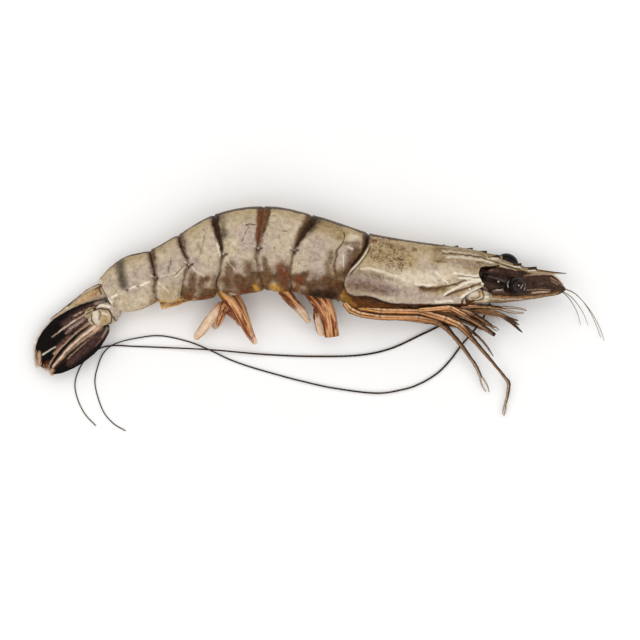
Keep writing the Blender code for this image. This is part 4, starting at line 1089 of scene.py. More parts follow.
def make_rostrum():
    """An upright blade in the middle plane. Along x it has an upper and a lower edge. Across, it is
    thickest at a rib in its lower half. Each tooth rises along the upper edge and drops at its tip."""
    rows = np.array(ROSTRUM)
    x = np.linspace(rows[0, 0], rows[-1, 0], 260)
    upper, lower, half = (eased(x, rows[:, (0, k)], 1.2) for k in (1, 2, 3))
    into = (x[:, None] - np.array(ROSTRUM_TEETH)) / TOOTH_LENGTH
    rise = np.where(into > 1, hump(into - 1, 0.12), np.clip(into, 0, 1) ** 1.2).max(axis=1)
    upper = (upper + TOOTH_RISE * rise * np.clip(1 - (x - 84.0) / 8.0, 0, 1))[:, None]
    x, lower, half, rise = (part[:, None] for part in (x, lower, half, rise))
    turn = turns(72)
    up = np.sin(turn)
    thick = powered(np.cos(turn), 1.5) * (1 - 0.35 * up) * half
    ridge = 0.3 * half * (hump(up - 0.15, 0.16) - hump(up + 0.2, 0.16)) * np.sign(thick)
    y = (upper + lower) / 2 + (upper - lower) / 2 * up
    along = x + 0 * up
    lean = 0.5 * rise * smooth(up, 0.5, 1.0)
    grid = np.stack([along + lean, y, HEAD_MIDDLE + thick + ridge], axis=-1)
    masks = paint(along, y, ROSTRUM_PAINT, waver=0.3)
    below = (1 - up) * (upper - lower) / 2
    ripe = smooth(rise, 0.04, 0.2)
    tip = smooth(along, 77.5, 80.5)
    masks["band"] = masks["band"] * (1 - tip)
    lay(masks, "band", smooth(1.3 - below, 0.0, 0.2) * ripe + 0.9 * smooth(0.5 - below, 0.0, 0.15))
    lay(masks, "cream", 0.95 * hump(below - 1.5, 0.28) * ripe * (1 - tip) + 0.5 * tip * (up < 0))
    lay(masks, "gold", 0.3 * tip)
    lay(masks, "olive_brown", tip * smooth(up, -0.1, 0.1))
    lay(masks, "olive", 0.8)
    lay(masks, "umber", smooth(along, 86.0, 88.0))
    return skin(grid, masks)


LEG_BASE_SPACING = 7.4
THORAX_PAINT = (
    ("gold", 0.55, 1.6, 1, (6.6, -12.6, 8.4, -15.2, 11, -17)),
    # painted shadow along the shield's lower margin
    ("band", 0.85, 0.8, 0.7, (13, -14.2, 18, -14.7, 23, -16.2, 30, -17.6, 60, -17.4)),
    ("rust", 0.4, 0.7, 0.7, (12, -16.6, 20, -17.6, 30, -18.6)),
    ("gold", 0.6, 0.7, 0.6, (12, -18.4, 24, -19.4, 40, -19)),
    ("cream", 0.9, 0.4, 0.3, (6.2, -15.8, 8, -17.9, 9.8, -18.7, 13, -19)),
    ("olive", 0.7, 1.2, 1, (5.4, -11.8, 6.4, -14.6)),
)


def make_thorax():
    """The gill side and the leg bases under the shield's lower margin: a strip of skin from just inside the
    margin down to the belly, with a row of rounded leg bases and shallow folds between them."""
    place = np.linspace(-0.02, 4.3, 260)[:, None]
    start = np.arcsin(np.clip(2 * (eased(place, CARAPACE_MARGIN, 0.12) + 0.05) - 1, -1, 1))
    share = np.linspace(0, 1, 96)[None, :]
    turn = start + share * (-math.pi - 2 * start)
    up = np.sin(turn)
    grid = body_skin(HEAD_RIBS, place + 0 * turn, up, 0.94 * powered(np.cos(turn), FLANK_POWER))
    x, y = grid[..., 0], grid[..., 1]
    legs = np.abs(np.sin(math.pi * (x - 9.0) / LEG_BASE_SPACING)) ** 0.6
    folds = 0.18 * clouds(x, y * 3, 2.2, 51) + 0.1 * clouds(x, y, 1.0, 52)
    seam = -0.25 * hump(share - 0.12, 0.05)
    grid = raised(grid, 0.45 * (legs - 0.5) * smooth(-up, 0.55, 0.95) + folds + seam)
    front = grid[:1] + (grid[:1].mean(axis=1, keepdims=True) - grid[:1]) * 0.5
    masks = paint(x, y, THORAX_PAINT)
    masks = {name: np.concatenate([mask[:1], mask]) for name, mask in masks.items()}
    make_piece("thorax_skin", [skin(rested(np.concatenate([front, grid])), masks)], [GILL])


# ---- limbs
def curve(rows, count):
    """Rows read at evenly spaced places on a smooth curve."""
    return spline(rows, np.linspace(0, len(rows) - 1, count))


def leaf(rows, strokes, count=150, sides=96, seed=1, point=0.5, rough=0.07, waver=0.35):
    """A blade or leaf: an oval section carried along smooth rows of (x, y, z, half width, half depth), with
    strokes of relief and paint, and a skin that is slightly uneven. Returns the grid and the masks."""
    data = curve(rows, count)
    ends = round_ends(count, 0.06, point)
    grid = tube(data[:, :3], data[:, 3] * ends, data[:, 4] * ends, sides)
    x, y = grid[..., 0], grid[..., 1]
    uneven = rough * clouds(x, y, 2.4, seed) + 0.5 * rough * clouds(x, y, 0.9, seed + 1)
    grid = raised(grid, (uneven + relief(x, y, strokes, waver)) * ends[:, None])
    return rested(grid), paint(x, y, strokes, waver=waver)


TAIL_MIDDLE = 4.5
TELSON = (
    (-81.2, -10.9, 4.5, 2.9, 2.3), (-84.4, -12.2, 4.5, 2.9, 2.3), (-88.3, -13.9, 4.4, 2.3, 2),
    (-93, -16.8, 4.2, 1.6, 1.5), (-98.6, -20.4, 4, 0.95, 0.9), (-102.3, -22.2, 3.9, 0.3, 0.3),
)
TELSON_PAINT = (
    ("band", 1, 0.35, 0.3, (-82.2, -8.2, -86.4, -10, -90, -12.2, -94.6, -16.2, -101, -21.4)),
    ("smoke", 0.5, 0.5, 0.3, (-82.8, -9.6, -90, -13.2, -95, -17.2), -0.35),
    ("umber", 1, 0.8, 0.5, (-82.4, -9.2, -83.6, -10.6, -82.8, -12.6)),
    ("band", 0.9, 0.35, 0.3, (-84.2, -10.4, -85, -11.2)),
    ("rust", 0.8, 0.5, 0.3, (-84.2, -11.8, -84.8, -12.8)),
    ("gold", 0.5, 1.8, 1, (-84.6, -12, -93, -16.6)),
    ("mauve", 0.45, 1.6, 1, (-85, -13.4, -92, -17)),
    # a painted highlight along the lower edge
    ("cream", 0.8, 0.35, 0.3, (-91.6, -17.6, -96, -19.8, -101, -21.8), 0.3),
    ("rust", 0.8, 0.3, 0.25, (-92.4, -18.6, -97, -20.6, -101.6, -22.2)),
    ("band", 0.9, 0.3, 0.3, (-82.8, -15.2, -88.6, -16.4, -92, -18.2)),
    ("lilac", 0.5, 0.8, 0.6, (-84, -14, -90, -16.2), 0.3),
)
UROPOD_BASE = (
    (-76.6, -17.6, 5.6, 2.4, 1.6), (-79.4, -19.6, 6.6, 3.8, 2.4), (-82.4, -21.2, 7.3, 3.9, 2.6),
    (-85.2, -22.6, 7, 2.6, 1.9), (-87, -23.4, 6.6, 1.2, 1),
)
UROPOD_INNER = (
    (-80.6, -16.6, 5.4, 2, 0.9), (-85, -18.4, 5.9, 3.2, 0.7), (-91.4, -22, 6, 4.4, 0.6),
    (-98.2, -27.2, 5.6, 5.3, 0.55), (-102.9, -33.2, 4.8, 4.6, 0.45), (-105.2, -39.8, 4, 2.2, 0.35),
)
UROPOD_OUTER = (
    (-80.8, -24.2, 7.4, 2.2, 0.8), (-86, -29.2, 7.6, 4.6, 0.65), (-92, -34.4, 7.2, 4.8, 0.6),
    (-98.2, -39.2, 6.2, 3.3, 0.5), (-101.8, -41.8, 5.4, 1.2, 0.35),
)
# The pale strokes on both leaves are painted highlights.
INNER_PAINT = (
    ("lilac", 0.9, 1.3, 0.9, (-80.6, -15.6, -84.6, -16.6)),
    ("band", 0.9, 0.4, 0.3, (-82, -16.8, -86, -17.4, -90, -19)),
    ("mauve", 0.6, 2, 1.6, (-84, -17.6, -90, -20, -96, -24)),
    ("tan", 0.7, 0.35, 0.25, (-84.6, -17.4, -88.4, -18.4, -93, -21)),
    ("mauve", 1, 0.8, 0.6, (-86.4, -18.9, -91, -21.2, -96, -24.6)),
    ("tan", 0.9, 0.3, 0.2, (-87.6, -19.6, -94.4, -24, -101, -28.8)),
    ("cream", 0.7, 0.2, 0.15, (-92, -22.2, -95.8, -25, -98.4, -26.8)),
    ("mauve", 1, 1.2, 1, (-88, -21.8, -91.8, -24.2, -95.3, -26.8)),
    ("lilac", 0.7, 0.5, 0.4, (-88.8, -21.6, -94.6, -25.6)),
    ("cream", 0.5, 0.14, 0.12, (-89.4, -22.6, -93.6, -25.6, -96, -27.6)),
    ("tan", 1, 0.9, 0.45, (-86.6, -23.4, -92.2, -28, -96.8, -32.2, -100.4, -35), 0.4),
    ("mauve", 1, 1.1, 0.9, (-94.6, -29.2, -99.6, -33.2)),
    ("rust", 1, 0.8, 0.7, (-95.4, -31.4, -96.4, -32.2)),
    ("band", 1, 0.3, 0.3, (-95.2, -30.8, -96.8, -31.2, -96.6, -32.6)),
    ("cream", 1, 0.3, 0.3, (-95.9, -31.5), 0.25),
    ("cream", 0.9, 0.3, 0.2, (-104.6, -35.4, -102.2, -33.8, -99.8, -32.4), 0.25),
    ("tan", 0.85, 0.6, 0.8, (-106, -34.6, -106, -38, -105.8, -41)),
    ("rust", 0.8, 0.8, 0.7, (-102.8, -38.4, -103.8, -41)),
    (None, 0, 0.5, 0.5, (-86, -19, -94.4, -24, -101, -28.8), 0.3),
    (None, 0, 0.6, 0.6, (-88, -20.8, -95, -25.6, -101, -30.2), -0.25),
)
OUTER_PAINT = (
    ("tan", 1, 1.6, 0.5, (-83.6, -24.8, -89, -28.6, -94.6, -33.4, -100.6, -39.8), 0.5),
    ("cream", 0.7, 0.35, 0.2, (-84.6, -25, -90, -28.8, -95.4, -33.8, -100.2, -39.2)),
    ("band", 1, 0.3, 0.25, (-83.4, -26.9, -89.4, -31.2, -95.2, -36.4, -99.8, -40.8)),
    ("mauve", 0.5, 1.9, 1.2, (-82.6, -27.8, -88.6, -33.4, -94.4, -38.6)),
    ("mauve", 0.9, 0.4, 0.3, (-79.4, -24.6, -81.6, -28.8, -84.6, -32.2)),
    ("lilac", 0.7, 0.5, 0.3, (-79.8, -24.6, -82, -28.8)),
    ("tan", 0.8, 0.22, 0.2, (-84.6, -27.6, -89.6, -31.8, -95, -36.8)),
    ("band", 1, 0.2, 0.18, (-85.4, -26.4, -90.4, -30.2, -96, -35.4)),
    ("tan", 0.9, 0.8, 0.7, (-101, -41.2, -102.2, -42)),
    (None, 0, 0.5, 0.5, (-83.6, -28, -90, -33, -97, -39), -0.3),
    (None, 0, 0.4, 0.4, (-80.4, -27, -86.4, -33.6, -93, -38.8), 0.2),
    (None, 0, 0.3, 0.3, (-85.6, -26.6, -91.8, -31.2, -97.6, -37), -0.2),
)
# The pale strokes on the knob are partly pale skin and partly painted highlights.
BASE_PAINT = (
    ("cream", 0.6, 1.4, 1.2, (-84.4, -20.4, -84, -22.8)),
    ("lilac", 0.8, 0.9, 0.9, (-82.6, -20.8, -82.6, -22.6)),
    ("olive", 0.9, 1.7, 1.5, (-81.4, -20.6, -81, -22.8)),
    ("gold", 0.3, 1.5, 1.3, (-81.2, -20.8, -80.8, -22.8)),
    ("cream", 0.8, 0.4, 0.4, (-81.6, -20, -80.2, -20.4)),
    ("lilac", 1, 1.5, 1.4, (-87.4, -18.6, -82, -16.8, -78, -17.6, -76.8, -20.8)),
    ("cream", 0.9, 0.4, 0.35, (-79.6, -17.6, -82, -17.2, -84.6, -17.6)),
    ("band", 0.9, 0.5, 0.4, (-77.9, -21.4, -77.2, -23)),
    ("band", 1, 0.3, 0.3, (-86, -20.4, -86.2, -22.6, -84.4, -24.9, -81.6, -25.2, -79, -23.8), -0.6),
    ("band", 1, 0.35, 0.3, (-85.6, -18.6, -82.6, -18, -79.6, -18.6, -78.4, -20.8, -78.7, -23.4), -0.5),
    ("umber", 0.9, 0.3, 0.3, (-86.6, -17.4, -83.6, -16.2, -79.6, -16.3, -77.4, -17.8)),
    ("band", 0.8, 0.22, 0.22, (-83, -19, -82.4, -20.6, -83, -22.4), -0.3),
    (None, 0, 1.7, 1.7, (-83.8, -21.6, -81, -21.4), 0.7),
    (None, 0, 0.6, 0.6, (-85, -17.2, -81, -16.6, -77.8, -17.2), 0.4),
)
BEAD = ((-86.2, -18, 6.6, 0.9, 0.8), (-87.2, -19.8, 7, 1.4, 1.2), (-87.8, -21.8, 6.7, 1, 0.8))
BEAD_PAINT = (
    ("olive", 0.9, 1.2, 1.2, (-87, -18.6, -87.6, -21.6)),
    ("band", 0.9, 0.25, 0.25, (-86.2, -19.4, -88.2, -20.4), -0.3),
    ("band", 0.9, 0.2, 0.2, (-86, -18.2, -87.8, -18.9)),
)


def mirrored(rows, x=0.0, y=0.0, z=0.0):
    """The left twin of a limb of the tail: the same rows at the other side of the middle height, but above
    the table, and shifted a little."""
    rows = np.array(rows, float)
    rows[:, 2] = np.maximum(2 * TAIL_MIDDLE - rows[:, 2], 0.35 + rows[:, 4])
    rows[:, :3] += (x, y, z)
    return rows


FRINGE_RADIUS = 0.09
BRISTLE_DROOP = (0, 0, -0.1)


def fringe(grid, first, last, side, count, length, spread, seed):
    """Bristles along one edge of a leaf, from a first to a last share of its length. They point away from
    the leaf's middle line, lean towards its tip, and vary in length. Side 2 is the tip, 0 and 1 the
    edges."""
    rng = np.random.default_rng(seed)
    rings, around = grid.shape[:2]
    row = (np.linspace(first, last, count) * (rings - 1)).astype(int)
    column = rng.integers(0, around, count) if side == 2 else np.full(count, side * around // 2)
    centre = grid.mean(axis=1)
    roots = grid[row, column]
    tip = unit(centre[np.minimum(row + 3, rings - 1)] - centre[np.maximum(row - 3, 0)])
    away = unit(roots - centre[row] + 1e-6)
    ways = unit(tip + away * spread + rng.normal(0, 0.12, (count, 3)) * (1, 1, 0.4))
    sizes = length * rng.uniform(0.6, 1.15, count)
    return bristles(roots - 0.2 * ways, ways, sizes, FRINGE_RADIUS, BRISTLE_DROOP, finish=1)


def make_tail():
    """The tail spine, the two bases, and the two leaves on each side, with bristles along their edges."""
    telson = skin(*leaf(TELSON, TELSON_PAINT, seed=61, rough=0.08))
    make_piece("telson_skin", [telson], [SHELL])
    fans = {
        "right": (UROPOD_BASE, UROPOD_INNER, UROPOD_OUTER),
        "left": (
            mirrored(UROPOD_BASE), mirrored(UROPOD_INNER, 0.6, -0.4, 0.4), mirrored(UROPOD_OUTER, -0.4, 0.6),
        ),
    }
    for side, (base, inner, outer) in fans.items():
        knobs = [skin(*leaf(base, BASE_PAINT, count=80, seed=63, rough=0.12))]
        if side == "right":
            knobs.append(skin(*leaf(BEAD, BEAD_PAINT, count=40, sides=48, seed=64, rough=0.15)))
        make_piece(f"uropod_base_{side}_skin", knobs, [KNOB])
        grid, masks = leaf(inner, INNER_PAINT, count=190, seed=65)
        hairs = [fringe(grid, 0.45, 0.97, 1, 120, 1.5, 1.0, 66), fringe(grid, 0.8, 0.99, 0, 60, 1.6, 0.8, 67)]
        hairs.append(fringe(grid, 0.95, 1.0, 2, 70, 1.8, 0.5, 68))
        make_piece(f"uropod_inner_{side}_skin", [skin(grid, masks)] + hairs, [FAN, HAIR])
        grid, masks = leaf(outer, OUTER_PAINT, count=190, seed=69)
        hairs = [fringe(grid, 0.5, 0.98, 1, 90, 1.3, 0.8, 70), fringe(grid, 0.94, 1.0, 2, 60, 1.5, 0.4, 71)]
        make_piece(f"uropod_outer_{side}_skin", [skin(grid, masks)] + hairs, [FAN, HAIR])


PLEOPODS = {
    "right_1": (
        (-5.4, -10.4, 13, 3, 1.6), (-2.2, -14, 12.8, 3.6, 1.5), (0.8, -18.4, 11.8, 3.1, 1.3),
        (2.2, -23, 10, 2.8, 1.1), (3, -28.7, 8, 2.7, 0.8),
    ),
    "left_1": (
        (-1.6, -15, 6, 2.2, 1), (-1.8, -21, 4.4, 2, 0.8), (-1, -26, 2.8, 1.6, 0.6),
        (-0.6, -28, 2.2, 0.9, 0.4),
    ),
    "right_2": (
        (-15, -10.8, 12.2, 2.6, 1.3), (-12.6, -14, 10.9, 1.9, 0.9), (-9.8, -17.2, 9.2, 1.5, 0.6),
        (-7.4, -20.4, 7.6, 1.3, 0.45), (-5.3, -23.5, 6.4, 0.7, 0.3),
    ),
    "left_2": (
        (-14.4, -12.6, 6.6, 2, 1.2), (-11.8, -15.8, 4.8, 1.5, 0.9), (-9, -18.8, 3.2, 1.1, 0.6),
        (-6.6, -21.6, 2.2, 0.6, 0.3),
    ),
    "right_3": (
        (-37.8, -10.2, 11.8, 2.6, 1.5), (-35, -13.2, 12.2, 3.2, 1.5), (-32, -17, 11.4, 2.8, 1.2),
        (-29.6, -22.4, 9.4, 2.2, 0.8), (-27.2, -28, 7.4, 1.4, 0.45), (-25.2, -31.4, 6.4, 0.7, 0.3),
    ),
    "left_3": (
        (-37, -15, 7, 2.8, 1.2), (-34.8, -18, 5.6, 2.4, 0.9), (-32, -21.4, 4, 1.7, 0.6),
        (-29.2, -24.6, 2.6, 0.7, 0.3),
    ),
    "right_4": (
        (-37.4, -16.2, 10, 1.2, 0.8), (-39.6, -19.2, 8.8, 1.6, 0.6), (-42.6, -22.8, 7, 1.7, 0.5),
        (-45.6, -26.6, 5.2, 1.5, 0.4), (-48.2, -29.6, 4.2, 0.8, 0.3),
    ),
    "left_4": (
        (-38, -18.4, 3.4, 1.6, 0.7), (-38.6, -21, 3, 1.6, 0.6), (-40, -23.6, 2.4, 1.3, 0.5),
        (-41.4, -25.6, 2, 0.6, 0.3),
    ),
    "right_5": (
        (-41, -12.8, 10, 0.9, 0.7), (-46, -13.8, 9.8, 1.1, 0.8), (-51, -14.4, 9.6, 1.5, 0.8),
        (-55.6, -15.2, 9, 2, 0.7), (-60.6, -16.2, 8.4, 2.3, 0.5),
    ),
    "left_5": (
        (-45, -13.4, 5.2, 1, 0.7), (-50, -14, 5, 1.2, 0.7), (-55, -15, 4.6, 1.5, 0.6),
        (-59.6, -16, 4.2, 1.4, 0.5),
    ),
}
BLUNT_PLEOPODS = ("right_1", "right_5")
# How far along each pair its rust streaks reach, and strokes of paint over them.
PLEOPOD_STREAKS = {1: 1.3, 2: 0.5, 3: 0.8, 4: 0.12, 5: 0.1}
# The pink strokes are painted highlights.
PLEOPOD_PAINT = {
    1: (
        ("gold", 0.9, 1.4, 1.2, (-7.4, -10.8, -4.4, -12.6)),
        ("band", 0.7, 0.4, 0.3, (2.4, -15.4, 3.8, -19, 4.6, -24)),
        ("blush", 1, 0.3, 0.3, (-1, -14.6, 2, -19.4, 3.1, -28.9)),
    ),
    2: (
        ("gold", 0.9, 1, 0.8, (-16.6, -11.4, -14.4, -12)),
        ("smoke", 0.7, 0.22, 0.2, (-9, -15.6, -6.4, -19.6, -4.4, -23.6)),
    ),
    3: (
        ("gold", 1, 1.3, 1, (-38.4, -12.6, -36.6, -14)),
        ("rust", 1, 1, 0.8, (-36.4, -10.6, -33.8, -13.6)),
        ("band", 0.9, 0.3, 0.25, (-33.4, -11.4, -29.6, -16.6, -27.2, -22.4, -25.8, -28.6)),
        ("blush", 1, 0.35, 0.3, (-34.4, -13.4, -31, -18, -28.2, -23.6, -26.8, -28.4)),
        ("smoke", 0.6, 0.22, 0.2, (-27.6, -28, -26, -31.6)),
    ),
    4: (
        ("smoke", 0.8, 0.22, 0.18, (-41, -18.4, -44.4, -22.4, -49.2, -29.4)),
        ("smoke", 0.5, 0.18, 0.18, (-40.8, -22, -44.4, -27.2, -48, -30.4)),
    ),
    5: (
        ("gold", 0.9, 2.6, 2.6, (-46, -13.8, -61, -16.4)),
        ("rust", 0.9, 0.7, 0.5, (-41, -12.6, -50, -14.8, -57, -17.2)),
        ("cream", 0.5, 0.4, 0.4, (-53, -15, -58.6, -16.6)),
    ),
}
# The shorter branches that show beside the first, third and fourth swimming legs.
BRANCHES = {
    "right_1": ((-2.2, -19.6, 9.4, 1.2, 0.5), (-1.4, -24.6, 7.8, 1.4, 0.4), (-0.8, -28.4, 6.8, 0.8, 0.3)),
    "right_3": ((-36, -15.6, 10.6, 1.4, 0.8), (-33.4, -19.6, 9.2, 1.6, 0.6), (-30.6, -24.6, 7.6, 0.7, 0.3)),
    "right_4": ((-34.6, -15, 11, 1.1, 0.8), (-37.2, -19.4, 9.8, 1.5, 0.6), (-39.6, -24.6, 8, 0.5, 0.3)),
}
# How far the rust streaks reach along each branch.
BRANCH_STREAKS = {"right_1": 0.1, "right_3": 0.9, "right_4": 1.3}


def streaked(grid, masks, reach, seed):
    """A swimming leg's masks with streaks along it: values that change slowly along and quickly across.
    They are rust, dark and pale in turn up to a share of its length, and faint beyond. The pale streaks
    are painted highlights."""
    rings, around = grid.shape[:2]
    share = np.linspace(0, 1, rings)[:, None]
    across = np.cos(turns(around))[None, :]
    streak = clouds(2.5 * share, 2.6 * across, 1.0, seed)
    finer = clouds(3.0 * share, 5.0 * across, 1.0, seed + 1)
    near = 1 - smooth(share + 0.08 * finer, reach - 0.15, reach + 0.15)
    edge = 0.8 * smooth(np.abs(across), 0.8, 0.95)
    lay(masks, "orange", 0.95 * near)
    lay(masks, "rust", (smooth(streak, -0.1, 0.3) + smooth(finer, 0.1, 0.4)) * near)
    lay(masks, "band", 0.5 * smooth(finer, 0.35, 0.6) * near + edge * (0.15 + 0.7 * near))
    # pale streaks: painted highlights
    lay(masks, "blush", smooth(-streak, 0.15, 0.5) * (0.9 * near + 0.1) + hump(finer + 0.3, 0.12) * near)
    lay(masks, "smoke", 0.5 * smooth(finer, 0.3, 0.6) * (1 - near))
    height = 0.22 * hump(streak + 0.4, 0.3) - 0.15 * hump(finer - 0.4, 0.2)
    return rested(raised(grid, height * round_ends(rings, 0.1)[:, None])), masks


def make_pleopods():
    """Swimming legs: leaves with streaks along them, paler to the tip, with short bristles. Two right ones
    end blunt and without bristles: the first, which is broken off square, and the fifth."""
    for name, rows in PLEOPODS.items():
        side, number = name.split("_")
        number = int(number)
        blunt = name in BLUNT_PLEOPODS
        strokes = PLEOPOD_PAINT[number] if side == "right" else ()
        grid, masks = leaf(rows, strokes, 130, 84, seed=80 + number, point=0.12 if blunt else 0.6)
        shells = [skin(*streaked(grid, masks, PLEOPOD_STREAKS[number], 80 + number))]
        if name in BRANCHES:
            branch = leaf(BRANCHES[name], (), 60, 40, seed=90 + number, point=0.6)
            shells.append(skin(*streaked(*branch, BRANCH_STREAKS[name], 90 + number)))
        if not blunt:
            shells.append(fringe(grid, 0.45, 0.96, 0, 60, 0.6, 1.0, 100 + number))
            shells.append(fringe(grid, 0.45, 0.96, 1, 60, 0.6, 1.0, 110 + number))
        make_piece(f"pleopod_{name}_skin", shells, [PADDLE, HAIR])


# ---- head limbs
SCALE_EDGES = (
    # outer edge x, y and inner edge x, y, then how far each is from the head's middle plane
    ((58.6, -15.4), (60.2, -12), 4.2, 3.2),
    ((66, -15.7), (66.4, -10.4), 4.4, 2.7),
    ((73.8, -14.8), (73.4, -6.4), 4.3, 2.4),
    ((81, -13.7), (79.6, -5.9), 3.7, 2.3),
    ((86.2, -12.7), (84.6, -6.2), 3, 2.2),
    ((89.4, -11.4), (88.6, -9.8), 2.3, 2.1),
)
SCALE_THICKNESS = 0.45
SCALE_PAINT = (
    ("olive_brown", 1, 1.7, 0.9, (58, -14.4, 66, -14.8, 76, -14, 87, -12.6), 0.45),
    ("tan", 0.3, 1.5, 0.5, (59, -14.3, 66, -14.7, 73.8, -14.2, 80, -13.4, 86, -12.7)),
    ("leg", 0.5, 0.6, 0.4, (60.5, -13.6, 67, -14, 76, -13.8)),
    ("cream", 0.4, 0.3, 0.2, (60.5, -14.6, 66, -15, 73, -14.7)),
    ("tan", 0.8, 0.4, 0.3, (76.8, -12.5, 82.8, -12.1), 0.2),
    ("rust", 0.7, 0.2, 0.2, (76.8, -13, 82.8, -12.6)),
    ("cream", 0.45, 0.14, 0.12, (77.6, -12.2, 81.6, -12)),
    ("tan", 0.6, 0.16, 0.14, (74.4, -11.6, 79, -11.2, 83.4, -11.4)),
    ("smoke", 1, 0.25, 0.2, (77.6, -11, 81.6, -10.6)),
    ("smoke", 1, 0.3, 0.25, (78.6, -9.6, 82.4, -8.4)),
    ("smoke", 0.9, 0.25, 0.2, (82, -6.9, 85.6, -9, 89, -11), 0.18),
    ("tan", 0.5, 0.3, 0.2, (83.6, -6.8, 86.6, -8.6, 89.2, -10.6)),
    ("smoke", 0.8, 0.25, 0.2, (81.2, -8, 84.8, -10.2, 88, -11.4)),
    ("tan", 0.45, 0.4, 0.3, (84, -8.2, 86, -9.4)),
    ("mauve", 0.8, 0.6, 0.5, (62, -12.4, 66.5, -12.6)),
    # a painted glint, lilac round a white core
    ("lilac", 0.8, 0.5, 0.4, (62.4, -11.6, 66, -11.8), 0.3),
    ("cream", 1, 0.22, 0.3, (63.4, -11.2, 64.6, -11.6, 65.8, -11.3)),
    ("band", 0.8, 0.4, 0.3, (62, -13, 68, -13.5, 76, -13.3, 84, -12.4)),
    (None, 0, 0.35, 0.35, (60.5, -12.9, 67, -13.4, 76, -13.2, 84, -12.3), -0.3),
    (None, 0, 0.3, 0.3, (76.4, -11.2, 81.6, -10.6, 87, -11.2), 0.22),
    (None, 0, 0.3, 0.3, (75, -9.8, 81.6, -8.4, 88.6, -10.8), 0.22),
)
ANTENNULE = ((57.6, -6.6, 1.4, 2.6, 1.2), (64.0, -6.0, 1.5, 2.7, 1.3), (70.5, -6.4, 1.4, 2.4, 1.1),
             (77, -7.6, 1.1, 1.9, 0.9), (82.6, -9.3, 1, 1.2, 0.8), (87.6, -10.6, 0.9, 0.8, 0.6))
ANTENNULE_PAINT = (
    ("smoke", 0.9, 0.25, 0.2, (60, -6.7, 64.2, -7, 67, -7.6), 0.35),
    ("smoke", 0.7, 0.3, 0.2, (69, -6, 73.4, -7.2, 76.6, -8.6), 0.3),
    ("smoke", 0.6, 0.2, 0.2, (66.4, -4.6, 71, -5.6, 75.6, -7.4), 0.25),
    ("mauve", 0.6, 0.6, 0.6, (60, -4.6, 64, -4.2)),
    ("tan", 0.5, 0.3, 0.3, (61, -4.2, 62.2, -4)),
    (None, 0, 0.4, 0.4, (66.2, -4, 67.6, -8.4), -0.4),
    (None, 0, 0.35, 0.35, (76.8, -6.8, 77.4, -9.6), -0.35),
)
ANTENNA_BASE = ((51.6, -13.4, 3.0, 1.7, 1.4), (54.4, -13.6, 4.0, 2.7, 2.0), (57.6, -13.8, 4.2, 2.7, 1.9),
                (60.4, -14.3, 3.9, 1.9, 1.4), (62, -14.8, 3.7, 1, 0.9))
ANTENNA_BASE_PAINT = (
    # The pale strokes are painted highlights.
    ("cream", 0.85, 1.1, 0.8, (53.4, -12.8, 56, -12.6)),
    ("gold", 0.6, 0.9, 0.8, (56.4, -12.8, 57.8, -13)),
    ("cream", 0.9, 0.4, 0.4, (59.2, -13.9, 60.2, -13.8), 0.35),
    ("umber", 0.9, 0.35, 0.3, (58.2, -11.6, 58.8, -13, 58.3, -14.6, 56.6, -15.5, 54.6, -15.4), -0.4),
    ("umber", 0.8, 0.3, 0.3, (56.8, -12, 57.2, -13.6, 56, -14.6, 54, -14.4), -0.3),
    ("umber", 0.8, 0.5, 0.4, (52, -15.4, 56, -16.4, 60.6, -16.2)),
    ("smoke", 0.7, 0.3, 0.3, (60.8, -12.8, 61.6, -14.8)),
    (None, 0, 0.5, 0.5, (57.9, -12.6, 57.9, -14), 0.3),
)
HEAD_CORE = ((51.0, -8.0, 8.9, 5.4, 4.2), (56.0, -7.8, 8.9, 5.0, 4.0), (60.0, -8.0, 8.9, 4.6, 3.6),
             (64, -8.6, 8.9, 4, 3), (70, -9.4, 8.9, 2.6, 2.2), (76, -10, 8.9, 1.4, 1.2))
HEAD_CORE_PAINT = (
    ("smoke", 0.8, 0.25, 0.2, (57.8, -5, 58.6, -7.4, 59.8, -9.6)),
    ("tan", 0.6, 0.5, 0.4, (58.8, -10.6, 60.6, -11.8)),
    ("mauve", 0.7, 0.8, 0.6, (61.6, -10.8, 65.6, -11.4)),
    ("smoke", 0.6, 0.25, 0.2, (60.4, -9.6, 64.8, -10.4)),
)


def headside(rows, sign):
    """Rows of a head limb whose third number is the distance from the head's middle plane, on one side."""
    rows = np.array(rows, float)
    rows[:, 2] = HEAD_MIDDLE + sign * rows[:, 2]
    return rows


def make_scale(sign):
    """The blade beside an antenna. It is a thin oval between an outer and an inner edge, thickest at the
    outer one, which is a rounded strip. It leans in over the head."""
    count = 170
    data = curve([(*outer, *inner, far, near) for outer, inner, far, near in SCALE_EDGES], count)
    outer = np.stack([data[:, 0], data[:, 1], HEAD_MIDDLE + sign * data[:, 4]], axis=-1)[:, None]
    inner = np.stack([data[:, 2], data[:, 3], HEAD_MIDDLE + sign * data[:, 5]], axis=-1)[:, None]
    turn = turns(110)[:, None]
    ends = round_ends(count, 0.05, 0.5)[:, None, None]
    thick = unit(np.cross(inner - outer, (1.0, 0.0, 0.0)))
    depth = SCALE_THICKNESS * (1 - 0.45 * np.cos(turn)) * np.sin(turn)
    grid = (outer + inner) / 2 + ((inner - outer) / 2 * np.cos(turn) + thick * depth) * ends
    x, y = grid[..., 0], grid[..., 1]
    lines = 0.05 * np.sin(y * 9.0 + x * 1.2) * smooth(-np.cos(turn[:, 0]), -1.0, 0.6)
    rise = relief(x, y, SCALE_PAINT, 0.4) + lines + 0.08 * clouds(x, y, 1.8, 121)
    return rested(raised(grid, rise * ends[..., 0])), paint(x, y, SCALE_PAINT, waver=0.4)


